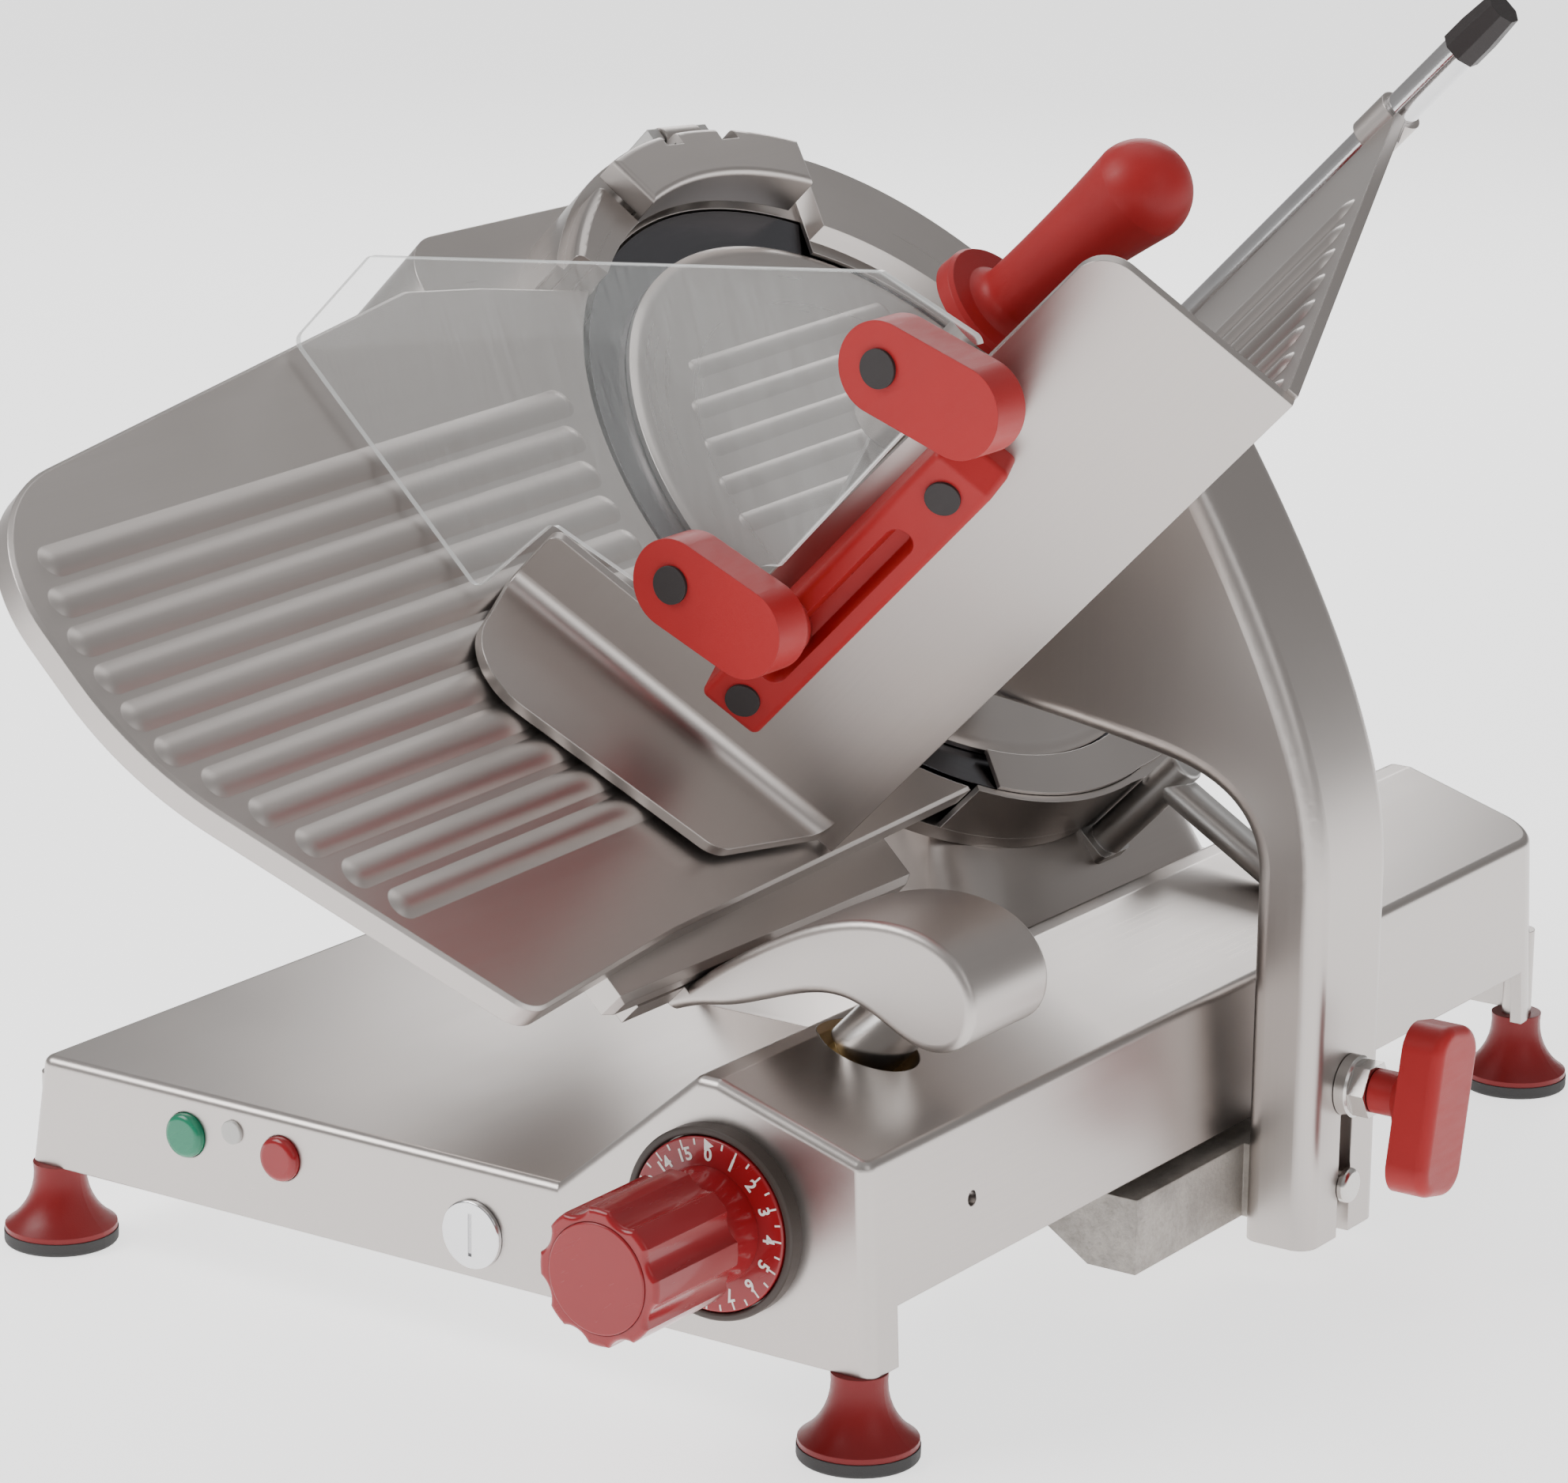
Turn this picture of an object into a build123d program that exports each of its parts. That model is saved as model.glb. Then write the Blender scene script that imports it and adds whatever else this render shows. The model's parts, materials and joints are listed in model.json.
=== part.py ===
"""Inclined gravity meat slicer: cast base, blade unit, gauge plate, feed carriage and meat pusher.

Units are millimetres, +Z is up and the operator stands on the -Y side. The origin is the centre
of the bounding box on the surface that the slicer stands on.
Three frames are used: the base (level), the slope (the blade's plane) and the tray (rotated about
the slope's normal).
"""
from build123d import *
import os
from math import cos, radians, sin, sqrt

os.makedirs("parts", exist_ok=True)

# ---------------------------------------------------------------- driving dimensions
# Centre of the four feet in the part's frame.
base_x = -7.1
base_y = 76.4

# Base casting.
half_width = 224.0
half_length = 297.0
draft = 8.0
skirt_z = 37.0
deck_z = 87.5
valley_x = 66.5
ridge_left_x = 137.0
ridge_right_x = 147.0
ridge_z = 148.5
shoulder_x = 220.0
shoulder_z = 127.0
wall = 5.0
foot_x = 213.0
foot_y = 289.0
foot_radius = 25.0
pad_height = 6.0

# Blade unit.
tilt = 44.2
blade_centre = Vector(base_x - 15.0, base_y + 75.0, 301.0)
blade_radius = 170.0
bevel_radius = 149.3

# Gauge plate and its controls.
dial_x = 149.0
dial_z = 90.0
gauge_gap_radius = 173.5
gauge_shaft_u = 237.0
gauge_shaft_v = -284.0

# Carriage.
bar_x = 180.0
bar_z = 72.0
bar_radius = 15.0
column_inner_x = 231.0
column_outer_x = 265.0
column_front_y = -12.0
column_back_y = 52.0
lock_y = 20.0
lock_z = 84.0

# Feed tray, in its own frame.
tray_w = 3.5
tray_u = 151.0
tray_v = -213.0
tray_turn = 25.3
tray_sheet = 5.0
wall_length = 310.0
wall_height = 100.0
ear_height = 181.0
ear_width = 38.0
table_depth = 258.0
rod_t = 270.0
rod_h = 2.0
rod_radius = 8.0
guard_v = -310.0

# Working clearances.
gap = 0.3
running = 0.05

# ---------------------------------------------------------------- frames
normal = Vector(sin(radians(tilt)), 0, cos(radians(tilt)))
down = Vector(cos(radians(tilt)), 0, -sin(radians(tilt)))
back = Vector(0, 1, 0)


def level(z):
    """Horizontal plane at height z, centred on the feet."""
    return Plane((base_x, base_y, z))


def front(y):
    """Upright plane at distance y from the base's centre, seen from the operator's side."""
    return Plane((base_x, base_y + y, 0), x_dir=(1, 0, 0), z_dir=(0, -1, 0))


def side(x):
    """Upright plane at distance x from the base's centre, seen from the right."""
    return Plane((base_x + x, base_y, 0), x_dir=(0, 1, 0), z_dir=(1, 0, 0))


def slope(w):
    """Plane parallel to the blade, w above it: local x runs down the slope, local y backwards."""
    return Plane(blade_centre + normal * w, x_dir=down, z_dir=normal)


def fence(v):
    """Upright plane across the slope at v: local x runs down the slope, local y along its normal."""
    return Plane(blade_centre + back * v, x_dir=down, z_dir=-back)


rise = -down * cos(radians(tray_turn)) - back * sin(radians(tray_turn))
depth = -down * sin(radians(tray_turn)) + back * cos(radians(tray_turn))
tray_origin = blade_centre + down * tray_u + back * tray_v + normal * tray_w


def tray_side(out):
    """Plane parallel to the tray's wall: local x along the feed, local y up the wall."""
    return Plane(tray_origin - depth * out, x_dir=normal, z_dir=-depth)


def tray_cross(n):
    """Plane across the tray, n along the feed: local x is the depth, local y the height."""
    return Plane(tray_origin + normal * n, x_dir=depth, z_dir=normal)


def ripple(surface, start, end, width, height):
    """Low rounded rib that stands on a surface, from start to end in the surface's own axes."""
    radius = (width * width / 4 + height * height) / (2 * height)
    core = surface.offset(height - radius)
    near = core.from_local_coords(Vector(*start))
    far = core.from_local_coords(Vector(*end))
    with BuildPart() as rib:
        with BuildSketch(Plane(near, z_dir=far - near)):
            Circle(radius)
        extrude(amount=(far - near).length)
        with Locations(near, far):
            Sphere(radius)
        with BuildSketch(surface.offset(-0.5)):
            Rectangle(2000, 2000)
        extrude(amount=height + 1, mode=Mode.INTERSECT)
    return rib.part


# ---------------------------------------------------------------- base
def base_outline(bottom):
    """Corner points across the base, from the lower left round to the lower right."""
    return [
        (-half_width, bottom),
        (-half_width + draft, deck_z),
        (valley_x, deck_z),
        (ridge_left_x, ridge_z),
        (ridge_right_x, ridge_z),
        (shoulder_x, shoulder_z),
        (half_width, bottom),
    ]


button_holes = [(-132.3, 67.9), (-79.6, 68.1)]
lamp_place = (-106.4, 74.4)
plug_place = (23.9, 56.4)
corners = {
    "front_left": (-foot_x, -foot_y),
    "front_right": (foot_x, -foot_y),
    "rear_left": (-foot_x, foot_y),
    "rear_right": (foot_x, foot_y),
}

with BuildPart() as base_skin:
    with BuildSketch(front(-half_length)):
        with BuildLine():
            Polyline(*base_outline(skirt_z), close=True)
        make_face()
    extrude(amount=-2 * half_length)
    corner_edges = base_skin.edges().filter_by(
        lambda e: abs(e.tangent_at(0.5).Z) > 0.9 and abs(abs(e.center().Y - base_y) - half_length) < 0.1
    )
    fillet(corner_edges.filter_by(lambda e: e.center().Y > base_y), radius=22)
    fillet(corner_edges.filter_by(lambda e: e.center().Y < base_y), radius=6)
    top_edges = base_skin.edges().filter_by(
        lambda e: e.center().Z > deck_z - 1 and abs(e.center().X - base_x - valley_x) > 2
    )
    fillet(top_edges, radius=4.5)

with BuildPart() as shaft_boss:
    with BuildSketch(slope(-34)):
        with Locations((gauge_shaft_u, gauge_shaft_v)):
            Circle(26)
    extrude(amount=80)
    add(base_skin.part, mode=Mode.INTERSECT)

with BuildPart() as base_casting:
    add(base_skin.part)
    with BuildSketch(front(-half_length + wall)):
        with BuildLine():
            Polyline(*base_outline(skirt_z - 20), close=True)
        make_face()
        offset(amount=-wall, kind=Kind.INTERSECTION)
    extrude(amount=-2 * (half_length - wall), mode=Mode.SUBTRACT)
    add(shaft_boss.part)
    # Corner bosses for the feet, and end bosses for the guide bar.
    with BuildSketch(level(skirt_z)):
        with Locations(*corners.values()):
            Circle(7)
    extrude(amount=42)
    for y, way in ((-half_length + wall, -1), (half_length - wall, 1)):
        with BuildSketch(front(y)):
            with Locations((bar_x, bar_z)):
                Circle(22)
            with Locations((bar_x, bar_z + 30)):
                Rectangle(24, 50)
        extrude(amount=20 * way)
    # The carriage's opening under the right wall.
    with BuildSketch(side(half_width - 40)):
        with Locations((-2.5, 0)):
            Rectangle(549, 126)
    extrude(amount=60, mode=Mode.SUBTRACT)
    # Blind bores for the guide bar.
    with BuildSketch(front(-290)):
        with Locations((bar_x, bar_z)):
            Circle(bar_radius)
    extrude(amount=-580, mode=Mode.SUBTRACT)
    # Foot studs.
    with BuildSketch(level(skirt_z)):
        with Locations(*corners.values()):
            Circle(4)
    extrude(amount=30, mode=Mode.SUBTRACT)
    # Holes in the control face.
    with BuildSketch(front(-half_length)):
        with Locations(*button_holes):
            Circle(10 + gap)
        with Locations(lamp_place):
            Circle(4)
        with Locations(plug_place):
            Circle(12 + gap)
        with Locations((dial_x, dial_z)):
            Circle(6 + running)
    extrude(amount=-2 * wall, mode=Mode.SUBTRACT)
    # Hole in the right wall for the guide bar's lubrication.
    with BuildSketch(side(half_width - 12)):
        with Locations((-220, 92)):
            Circle(3.3)
    extrude(amount=24, mode=Mode.SUBTRACT)
    # Cable inlet in the rear wall.
    with BuildSketch(front(half_length)):
        with Locations((-150, 62)):
            Circle(8)
    extrude(amount=2 * wall, mode=Mode.SUBTRACT)
    # Opening for the gauge shaft in the sloping top.
    with BuildSketch(slope(-45)):
        with Locations((gauge_shaft_u, gauge_shaft_v)):
            Circle(20)
    extrude(amount=105, mode=Mode.SUBTRACT)
base_casting.part.label = "base_casting"
export_step(base_casting.part, "parts/base_casting.step")

with BuildPart() as bottom_plate:
    with BuildSketch(level(skirt_z + 3)):
        with Locations((-38, 0)):
            Rectangle(356, 2 * (half_length - wall) - 1)
        with Locations(*corners.values()):
            Circle(9, mode=Mode.SUBTRACT)
    extrude(amount=2)
    with BuildSketch(level(skirt_z + 3)):
        with GridLocations(22, 60, 9, 1):
            SlotOverall(60, 5, rotation=90)
    extrude(amount=2, mode=Mode.SUBTRACT)
bottom_plate.part.label = "bottom_plate"
export_step(bottom_plate.part, "parts/bottom_plate.step")

with BuildPart() as feet:
    for x, y in corners.values():
        with BuildSketch(Plane((base_x + x, base_y + y, 0), x_dir=(1, 0, 0), z_dir=(0, -1, 0))):
            with BuildLine():
                Line((0, pad_height), (foot_radius, pad_height))
                Line((foot_radius, pad_height), (foot_radius, pad_height + 2.5))
                ThreePointArc((foot_radius, pad_height + 2.5), (15.5, 18.5), (12, skirt_z))
                Line((12, skirt_z), (4, skirt_z))
                Line((4, skirt_z), (4, skirt_z + 30))
                Line((4, skirt_z + 30), (0, skirt_z + 30))
                Line((0, skirt_z + 30), (0, pad_height))
            make_face()
        revolve(axis=Axis((base_x + x, base_y + y, 0), (0, 0, 1)))
feet.part.label = "feet"
export_step(feet.part, "parts/feet.step")

with BuildPart() as foot_pads:
    with BuildSketch(level(0)):
        with Locations(*corners.values()):
            Circle(foot_radius + 0.4)
    extrude(amount=pad_height)
    fillet(foot_pads.edges().group_by(Axis.Z)[0], radius=1.5)
foot_pads.part.label = "foot_pads"
export_step(foot_pads.part, "parts/foot_pads.step")

with BuildPart() as cable_gland:
    with BuildSketch(front(half_length - wall)):
        with Locations((-150, 62)):
            Circle(8)
    extrude(amount=-18)
    with BuildSketch(front(half_length)):
        with Locations((-150, 62)):
            RegularPolygon(13, 6)
    extrude(amount=-7)
    with BuildSketch(front(half_length - wall)):
        with Locations((-150, 62)):
            RegularPolygon(13, 6)
    extrude(amount=5)
    with BuildSketch(front(half_length - wall - 10)):
        with Locations((-150, 62)):
            Circle(4)
    extrude(amount=-40, mode=Mode.SUBTRACT)
cable_gland.part.label = "cable_gland"
export_step(cable_gland.part, "parts/cable_gland.step")

# ---------------------------------------------------------------- switches
for name, place in (("on", button_holes[0]), ("off", button_holes[1])):
    with BuildPart() as button:
        with BuildSketch(front(-half_length)):
            with Locations(place):
                Circle(10)
        extrude(amount=4)
        fillet(button.edges().group_by(Axis.Y)[0], radius=3)
        with BuildSketch(front(-half_length)):
            with Locations(place):
                Circle(10)
        extrude(amount=-4)
        with BuildSketch(front(-half_length + 4)):
            with Locations(place):
                Circle(4)
        extrude(amount=-10)
    button.part.label = name + "_button"
    export_step(button.part, "parts/" + name + "_button.step")

with BuildPart() as switch_blocks:
    with BuildSketch(front(-half_length + wall + 2)):
        with Locations(*button_holes):
            RectangleRounded(24, 26, 2)
    extrude(amount=-34)
    with BuildSketch(front(-half_length + wall)):
        with Locations(*button_holes):
            Rectangle(24, 26)
            Rectangle(20.8, 22, mode=Mode.SUBTRACT)
    extrude(amount=-2)
    with BuildSketch(front(-half_length + wall + 2)):
        with Locations(*button_holes):
            Circle(4 + gap)
    extrude(amount=-12, mode=Mode.SUBTRACT)
switch_blocks.part.label = "switch_blocks"
export_step(switch_blocks.part, "parts/switch_blocks.step")

with BuildPart() as indicator_lamp:
    with BuildSketch(front(-half_length + wall + 4)):
        with Locations(lamp_place):
            Circle(4)
    extrude(amount=wall + 4)
    with BuildSketch(front(-half_length)):
        with Locations(lamp_place):
            Circle(5.4)
    extrude(amount=1.6)
    fillet(indicator_lamp.edges().group_by(Axis.Y)[0], radius=0.7)
indicator_lamp.part.label = "indicator_lamp"
export_step(indicator_lamp.part, "parts/indicator_lamp.step")

with BuildPart() as slotted_plug:
    with BuildSketch(front(-half_length - gap)):
        with Locations(plug_place):
            Circle(15)
    extrude(amount=2.4)
    fillet(slotted_plug.edges().group_by(Axis.Y)[0], radius=1)
    with BuildSketch(front(-half_length - gap)):
        with Locations(plug_place):
            Circle(12)
    extrude(amount=-9)
    with BuildSketch(front(-half_length - 1.1)):
        with Locations(plug_place):
            Rectangle(2, 19)
    extrude(amount=3, mode=Mode.SUBTRACT)
slotted_plug.part.label = "slotted_plug"
export_step(slotted_plug.part, "parts/slotted_plug.step")

# ---------------------------------------------------------------- dial
with BuildPart() as dial_bezel:
    with BuildSketch(front(-half_length)):
        with Locations((dial_x, dial_z)):
            Circle(41)
            Circle(37.6, mode=Mode.SUBTRACT)
    extrude(amount=8)
    fillet(dial_bezel.edges().group_by(Axis.Y)[0], radius=1.2)
dial_bezel.part.label = "dial_bezel"
export_step(dial_bezel.part, "parts/dial_bezel.step")

knob_end = -half_length - 84
dial_face = -half_length - gap - 8
with BuildPart() as dial_disc:
    with BuildSketch(front(-half_length - gap)):
        with Locations((dial_x, dial_z)):
            Circle(37)
    extrude(amount=8)
    fillet(dial_disc.edges().group_by(Axis.Y)[0], radius=1)
    with BuildSketch(front(-half_length)):
        with Locations((dial_x, dial_z)):
            Circle(6)
    extrude(amount=20, mode=Mode.SUBTRACT)
dial_disc.part.label = "dial_disc"
export_step(dial_disc.part, "parts/dial_disc.step")

with BuildPart() as dial_knob:
    with BuildSketch(front(dial_face)):
        with Locations((dial_x, dial_z)):
            Circle(25)
    with BuildSketch(front(dial_face - 20)):
        with Locations((dial_x, dial_z)):
            Circle(23.5)
    loft()
    with BuildSketch(front(dial_face - 20)):
        with Locations((dial_x, dial_z)):
            Circle(29)
            with PolarLocations(37.2, 8, start_angle=22.5):
                Circle(11, mode=Mode.SUBTRACT)
    extrude(amount=knob_end - dial_face + 20, dir=(0, 1, 0))
    fillet(dial_knob.edges().group_by(Axis.Y)[0], radius=2.5)
    with BuildSketch(front(knob_end)):
        with Locations((dial_x, dial_z)):
            Circle(23.5)
    extrude(amount=-1.5, mode=Mode.SUBTRACT)
    with BuildSketch(front(dial_face)):
        with Locations((dial_x, dial_z)):
            Circle(6)
    extrude(amount=40, mode=Mode.SUBTRACT)
dial_knob.part.label = "dial_knob"
export_step(dial_knob.part, "parts/dial_knob.step")

with BuildPart() as knob_cap:
    with BuildSketch(front(knob_end + 1.5)):
        with Locations((dial_x, dial_z)):
            Circle(23.3)
    extrude(amount=2.3)
    fillet(knob_cap.edges().group_by(Axis.Y)[0], radius=0.8)
knob_cap.part.label = "knob_cap"
export_step(knob_cap.part, "parts/knob_cap.step")

cam_front = -half_length + 32
with BuildPart() as dial_spindle:
    with BuildSketch(front(dial_face - 40)):
        with Locations((dial_x, dial_z)):
            Circle(6)
    extrude(amount=dial_face - 40 - cam_front - 12)
    # Scroll cam on the spindle's inner end.
    with BuildSketch(front(cam_front)):
        with Locations((dial_x, dial_z)):
            Circle(20)
            with PolarLocations(13, 5):
                Circle(4, mode=Mode.SUBTRACT)
    extrude(amount=-10)
dial_spindle.part.label = "dial_spindle"
export_step(dial_spindle.part, "parts/dial_spindle.step")

# ---------------------------------------------------------------- blade unit
guard_centre = (-18.0, 22.0)
guard_radius = 192.0
guard_lip = 174.5
frame_top = -28.5
frame_back = -36.0
ring_top = 0.4
cap_top = 2.6


def polar(radius, angle):
    """Point of the blade's plane, the angle counted from down the slope towards the back."""
    return (radius * cos(radians(angle)), radius * sin(radians(angle)))


def sector(start, end, radius=420):
    """Closed outline of the sector from start to end degrees about the blade's axis."""
    steps = 4
    rim = [polar(radius, start + (end - start) * i / steps) for i in range(steps + 1)]
    return [(0, 0)] + rim


ring_start = -31.0
ring_end = 214.0
cap_start = -27.0
cap_end = 152.0

with BuildPart() as pedestal:
    with BuildSketch(level(deck_z)):
        with Locations((40, 67)):
            RectangleRounded(170, 262, 30)
    with BuildSketch(slope(frame_back)):
        with Locations((112, 15)):
            RectangleRounded(112, 186, 30)
    loft()
    add(base_skin.part, mode=Mode.SUBTRACT)
pedestal.part.label = "pedestal"
export_step(pedestal.part, "parts/pedestal.step")

with BuildPart() as blade_frame:
    with BuildSketch(slope(frame_back)):
        Circle(guard_lip)
        with Locations(guard_centre):
            Circle(guard_radius)
        with BuildLine():
            Polyline(*sector(ring_end + 6, 360 + ring_start - 6), close=True)
        make_face(mode=Mode.SUBTRACT)
        Circle(158)
    extrude(amount=frame_top - frame_back)
    with BuildSketch(slope(-66)):
        Circle(36)
    extrude(amount=frame_back + 66)
    with BuildSketch(slope(-66)):
        Circle(28)
    extrude(amount=66 + frame_top, mode=Mode.SUBTRACT)
blade_frame.part.label = "blade_frame"
export_step(blade_frame.part, "parts/blade_frame.step")

with BuildPart() as ring_guard:
    with BuildSketch(slope(frame_top)):
        Circle(guard_lip)
        with Locations(guard_centre):
            Circle(guard_radius)
        Circle(blade_radius + 1.3, mode=Mode.SUBTRACT)
        with BuildLine():
            Polyline(*sector(ring_end, 360 + ring_start), close=True)
        make_face(mode=Mode.SUBTRACT)
    extrude(amount=ring_top - frame_top)
    # Raised seat that carries the sharpener's hood.
    with BuildSketch(slope(ring_top)):
        with Locations(guard_centre):
            Circle(guard_radius - 4)
        Circle(blade_radius + 2, mode=Mode.SUBTRACT)
        with BuildLine():
            Polyline(*sector(197, ring_end), close=True)
        make_face(mode=Mode.INTERSECT)
    extrude(amount=12)
    seat_edges = ring_guard.edges().group_by(Axis(blade_centre, normal))[-1]
    fillet(seat_edges.filter_by(GeomType.CIRCLE).sort_by(Axis(blade_centre, down))[0], radius=4)
    # Joint between the two castings of the ring.
    with BuildSketch(slope(frame_top)):
        with Locations(polar(205, 131)):
            Rectangle(40, 1.6, rotation=131)
    extrude(amount=ring_top - frame_top, mode=Mode.SUBTRACT)
ring_guard.part.label = "ring_guard"
export_step(ring_guard.part, "parts/ring_guard.step")

with BuildPart() as ring_cap:
    with BuildSketch(slope(ring_top)):
        Circle(blade_radius + 1)
        with Locations(guard_centre):
            Circle(guard_radius - 5)
        Circle(bevel_radius + 0.6, mode=Mode.SUBTRACT)
        with BuildLine():
            Polyline(*sector(cap_start, cap_end), close=True)
        make_face(mode=Mode.INTERSECT)
    extrude(amount=cap_top - ring_top)
    with BuildSketch(slope(cap_top)):
        with Locations(guard_centre):
            Circle(guard_radius - 8)
        Circle(bevel_radius + 8, mode=Mode.SUBTRACT)
        with BuildLine():
            Polyline(*sector(100, cap_end), close=True)
        make_face(mode=Mode.INTERSECT)
    extrude(amount=8, taper=30)
ring_cap.part.label = "ring_cap"
export_step(ring_cap.part, "parts/ring_cap.step")

with BuildPart() as blade:
    with BuildSketch(fence(0)):
        with BuildLine():
            Polyline(
                (15, -3),
                (bevel_radius + 0.7, -3),
                (blade_radius, -0.2),
                (blade_radius, -0.8),
                (bevel_radius - 2, -8),
                (15, -8),
                close=True,
            )
        make_face()
    revolve(axis=Axis(blade_centre, normal))
    with BuildSketch(slope(-3)):
        with PolarLocations(30, 3):
            Circle(3.5)
    extrude(amount=-6, mode=Mode.SUBTRACT)
blade.part.label = "blade"
export_step(blade.part, "parts/blade.step")

with BuildPart() as blade_hub:
    with BuildSketch(slope(-22)):
        Circle(42)
    extrude(amount=14)
    with BuildSketch(slope(-92)):
        Circle(15)
    extrude(amount=89)
    with BuildSketch(slope(-92)):
        Circle(4 + gap)
    extrude(amount=100, mode=Mode.SUBTRACT)
    with BuildSketch(slope(-8)):
        with PolarLocations(30, 3):
            Circle(3.5)
    extrude(amount=-9, mode=Mode.SUBTRACT)
blade_hub.part.label = "blade_hub"
export_step(blade_hub.part, "parts/blade_hub.step")

with BuildPart() as blade_screws:
    with BuildSketch(slope(-16)):
        with PolarLocations(30, 3):
            Circle(3.5)
    extrude(amount=12.9)
blade_screws.part.label = "blade_screws"
export_step(blade_screws.part, "parts/blade_screws.step")

with BuildPart() as blade_bearings:
    for w in (-48, -66):
        with BuildSketch(slope(w)):
            Circle(28)
            Circle(15 + running, mode=Mode.SUBTRACT)
        extrude(amount=12)
blade_bearings.part.label = "blade_bearings"
export_step(blade_bearings.part, "parts/blade_bearings.step")

cover_lines = [(-91, 10, 158), (-71, 5, 184), (-51, 0, 194), (-31, -4, 204), (-11, -6, 210)]
cover_ribs = [
    ripple(slope(1.8), (u + length * 0.013, v - length / 2), (u - length * 0.013, v + length / 2), 10, 1.0)
    for u, v, length in cover_lines
]

with BuildPart() as blade_cover:
    with BuildSketch(fence(0)):
        with BuildLine():
            l1 = Line((0, -2.4), (bevel_radius - 0.8, -2.4))
            Line(l1 @ 1, (bevel_radius - 0.8, 0.2))
            ThreePointArc((bevel_radius - 0.8, 0.2), (bevel_radius - 3, 1.3), (bevel_radius - 8, 1.8))
            Line((bevel_radius - 8, 1.8), (0, 1.8))
            Line((0, 1.8), (0, -2.4))
        make_face()
    revolve(axis=Axis(blade_centre, normal))
    add(cover_ribs)
    with BuildSketch(slope(-2.4)):
        Circle(4)
    extrude(amount=2, mode=Mode.SUBTRACT)
blade_cover.part.label = "blade_cover"
export_step(blade_cover.part, "parts/blade_cover.step")

with BuildPart() as cover_tie_rod:
    with BuildSketch(slope(-104)):
        Circle(4)
    extrude(amount=103.6)
    with BuildSketch(slope(-118)):
        Circle(16)
        with PolarLocations(18.5, 6):
            Circle(4, mode=Mode.SUBTRACT)
    extrude(amount=16)
    nut_rims = cover_tie_rod.edges().filter_by(GeomType.CIRCLE).sort_by(Axis(blade_centre, normal))
    fillet(nut_rims[0], radius=0.5)
cover_tie_rod.part.label = "cover_tie_rod"
export_step(cover_tie_rod.part, "parts/cover_tie_rod.step")

stay_top = blade_centre + down * 183 + back * 25 + normal * 10
stay_end = Vector(base_x + 200, base_y + 100, 135)
with BuildPart() as ring_stay:
    with BuildSketch(slope(frame_back)):
        with Locations((183, 25)):
            Circle(8.5)
    extrude(amount=25 - frame_back)
    fillet(ring_stay.edges().sort_by(Axis(blade_centre, normal))[-1], radius=2)
    with BuildSketch(slope(frame_back - 6)):
        with Locations((180.5, 25)):
            RectangleRounded(22, 26, 4)
    extrude(amount=6)
    with BuildSketch(Plane(stay_top, z_dir=stay_end - stay_top)):
        Circle(8)
    extrude(amount=(stay_end - stay_top).length)
    add(base_skin.part, mode=Mode.SUBTRACT)
    add(pedestal.part, mode=Mode.SUBTRACT)
ring_stay.part.label = "ring_stay"
export_step(ring_stay.part, "parts/ring_stay.step")

# ---------------------------------------------------------------- drive
motor_u = -128.0
motor_v = -62.0
belt_w = -84.0
belt_width = 10.0
driven_radius = 40.0
drive_radius = 14.0

with BuildPart() as driven_pulley:
    with BuildSketch(slope(belt_w - 1)):
        Circle(driven_radius + 2)
    extrude(amount=1)
    with BuildSketch(slope(belt_w)):
        Circle(driven_radius)
    extrude(amount=belt_width)
    with BuildSketch(slope(belt_w + belt_width)):
        Circle(driven_radius + 2)
    extrude(amount=1)
    with BuildSketch(slope(belt_w - 1)):
        Circle(15)
    extrude(amount=belt_width + 2, mode=Mode.SUBTRACT)
    with BuildSketch(slope(belt_w - 1)):
        with PolarLocations(27.5, 6):
            Circle(6)
    extrude(amount=belt_width + 2, mode=Mode.SUBTRACT)
driven_pulley.part.label = "driven_pulley"
export_step(driven_pulley.part, "parts/driven_pulley.step")

with BuildPart() as motor_rotor:
    with BuildSketch(slope(belt_w - 1)):
        with Locations((motor_u, motor_v)):
            Circle(drive_radius + 2)
    extrude(amount=1)
    with BuildSketch(slope(belt_w)):
        with Locations((motor_u, motor_v)):
            Circle(drive_radius)
    extrude(amount=belt_width)
    with BuildSketch(slope(belt_w + belt_width)):
        with Locations((motor_u, motor_v)):
            Circle(drive_radius + 2)
    extrude(amount=1)
    with BuildSketch(slope(-196)):
        with Locations((motor_u, motor_v)):
            Circle(6)
    extrude(amount=196 + belt_w + belt_width + 2)
motor_rotor.part.label = "motor_rotor"
export_step(motor_rotor.part, "parts/motor_rotor.step")

with BuildPart() as drive_belt:
    with BuildSketch(slope(belt_w + 0.4)):
        with BuildSketch(mode=Mode.PRIVATE) as outer:
            Circle(driven_radius + gap + 3)
            with Locations((motor_u, motor_v)):
                Circle(drive_radius + gap + 3)
            make_hull()
        with BuildSketch(mode=Mode.PRIVATE) as inner:
            Circle(driven_radius + gap)
            with Locations((motor_u, motor_v)):
                Circle(drive_radius + gap)
            make_hull()
        add(outer.sketch)
        add(inner.sketch, mode=Mode.SUBTRACT)
    extrude(amount=belt_width - 0.8)
drive_belt.part.label = "drive_belt"
export_step(drive_belt.part, "parts/drive_belt.step")

with BuildPart() as motor:
    with BuildSketch(slope(-198)):
        with Locations((motor_u, motor_v)):
            Circle(52)
    extrude(amount=102)
    fillet(motor.edges().sort_by(Axis(blade_centre, normal))[0], radius=8)
    with BuildSketch(slope(-100)):
        with Locations((motor_u, motor_v)):
            RectangleRounded(116, 116, 8)
    extrude(amount=4)
    with BuildSketch(slope(-198)):
        with Locations((motor_u, motor_v)):
            Circle(6 + running)
    extrude(amount=110, mode=Mode.SUBTRACT)
motor.part.label = "motor"
export_step(motor.part, "parts/motor.step")


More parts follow.
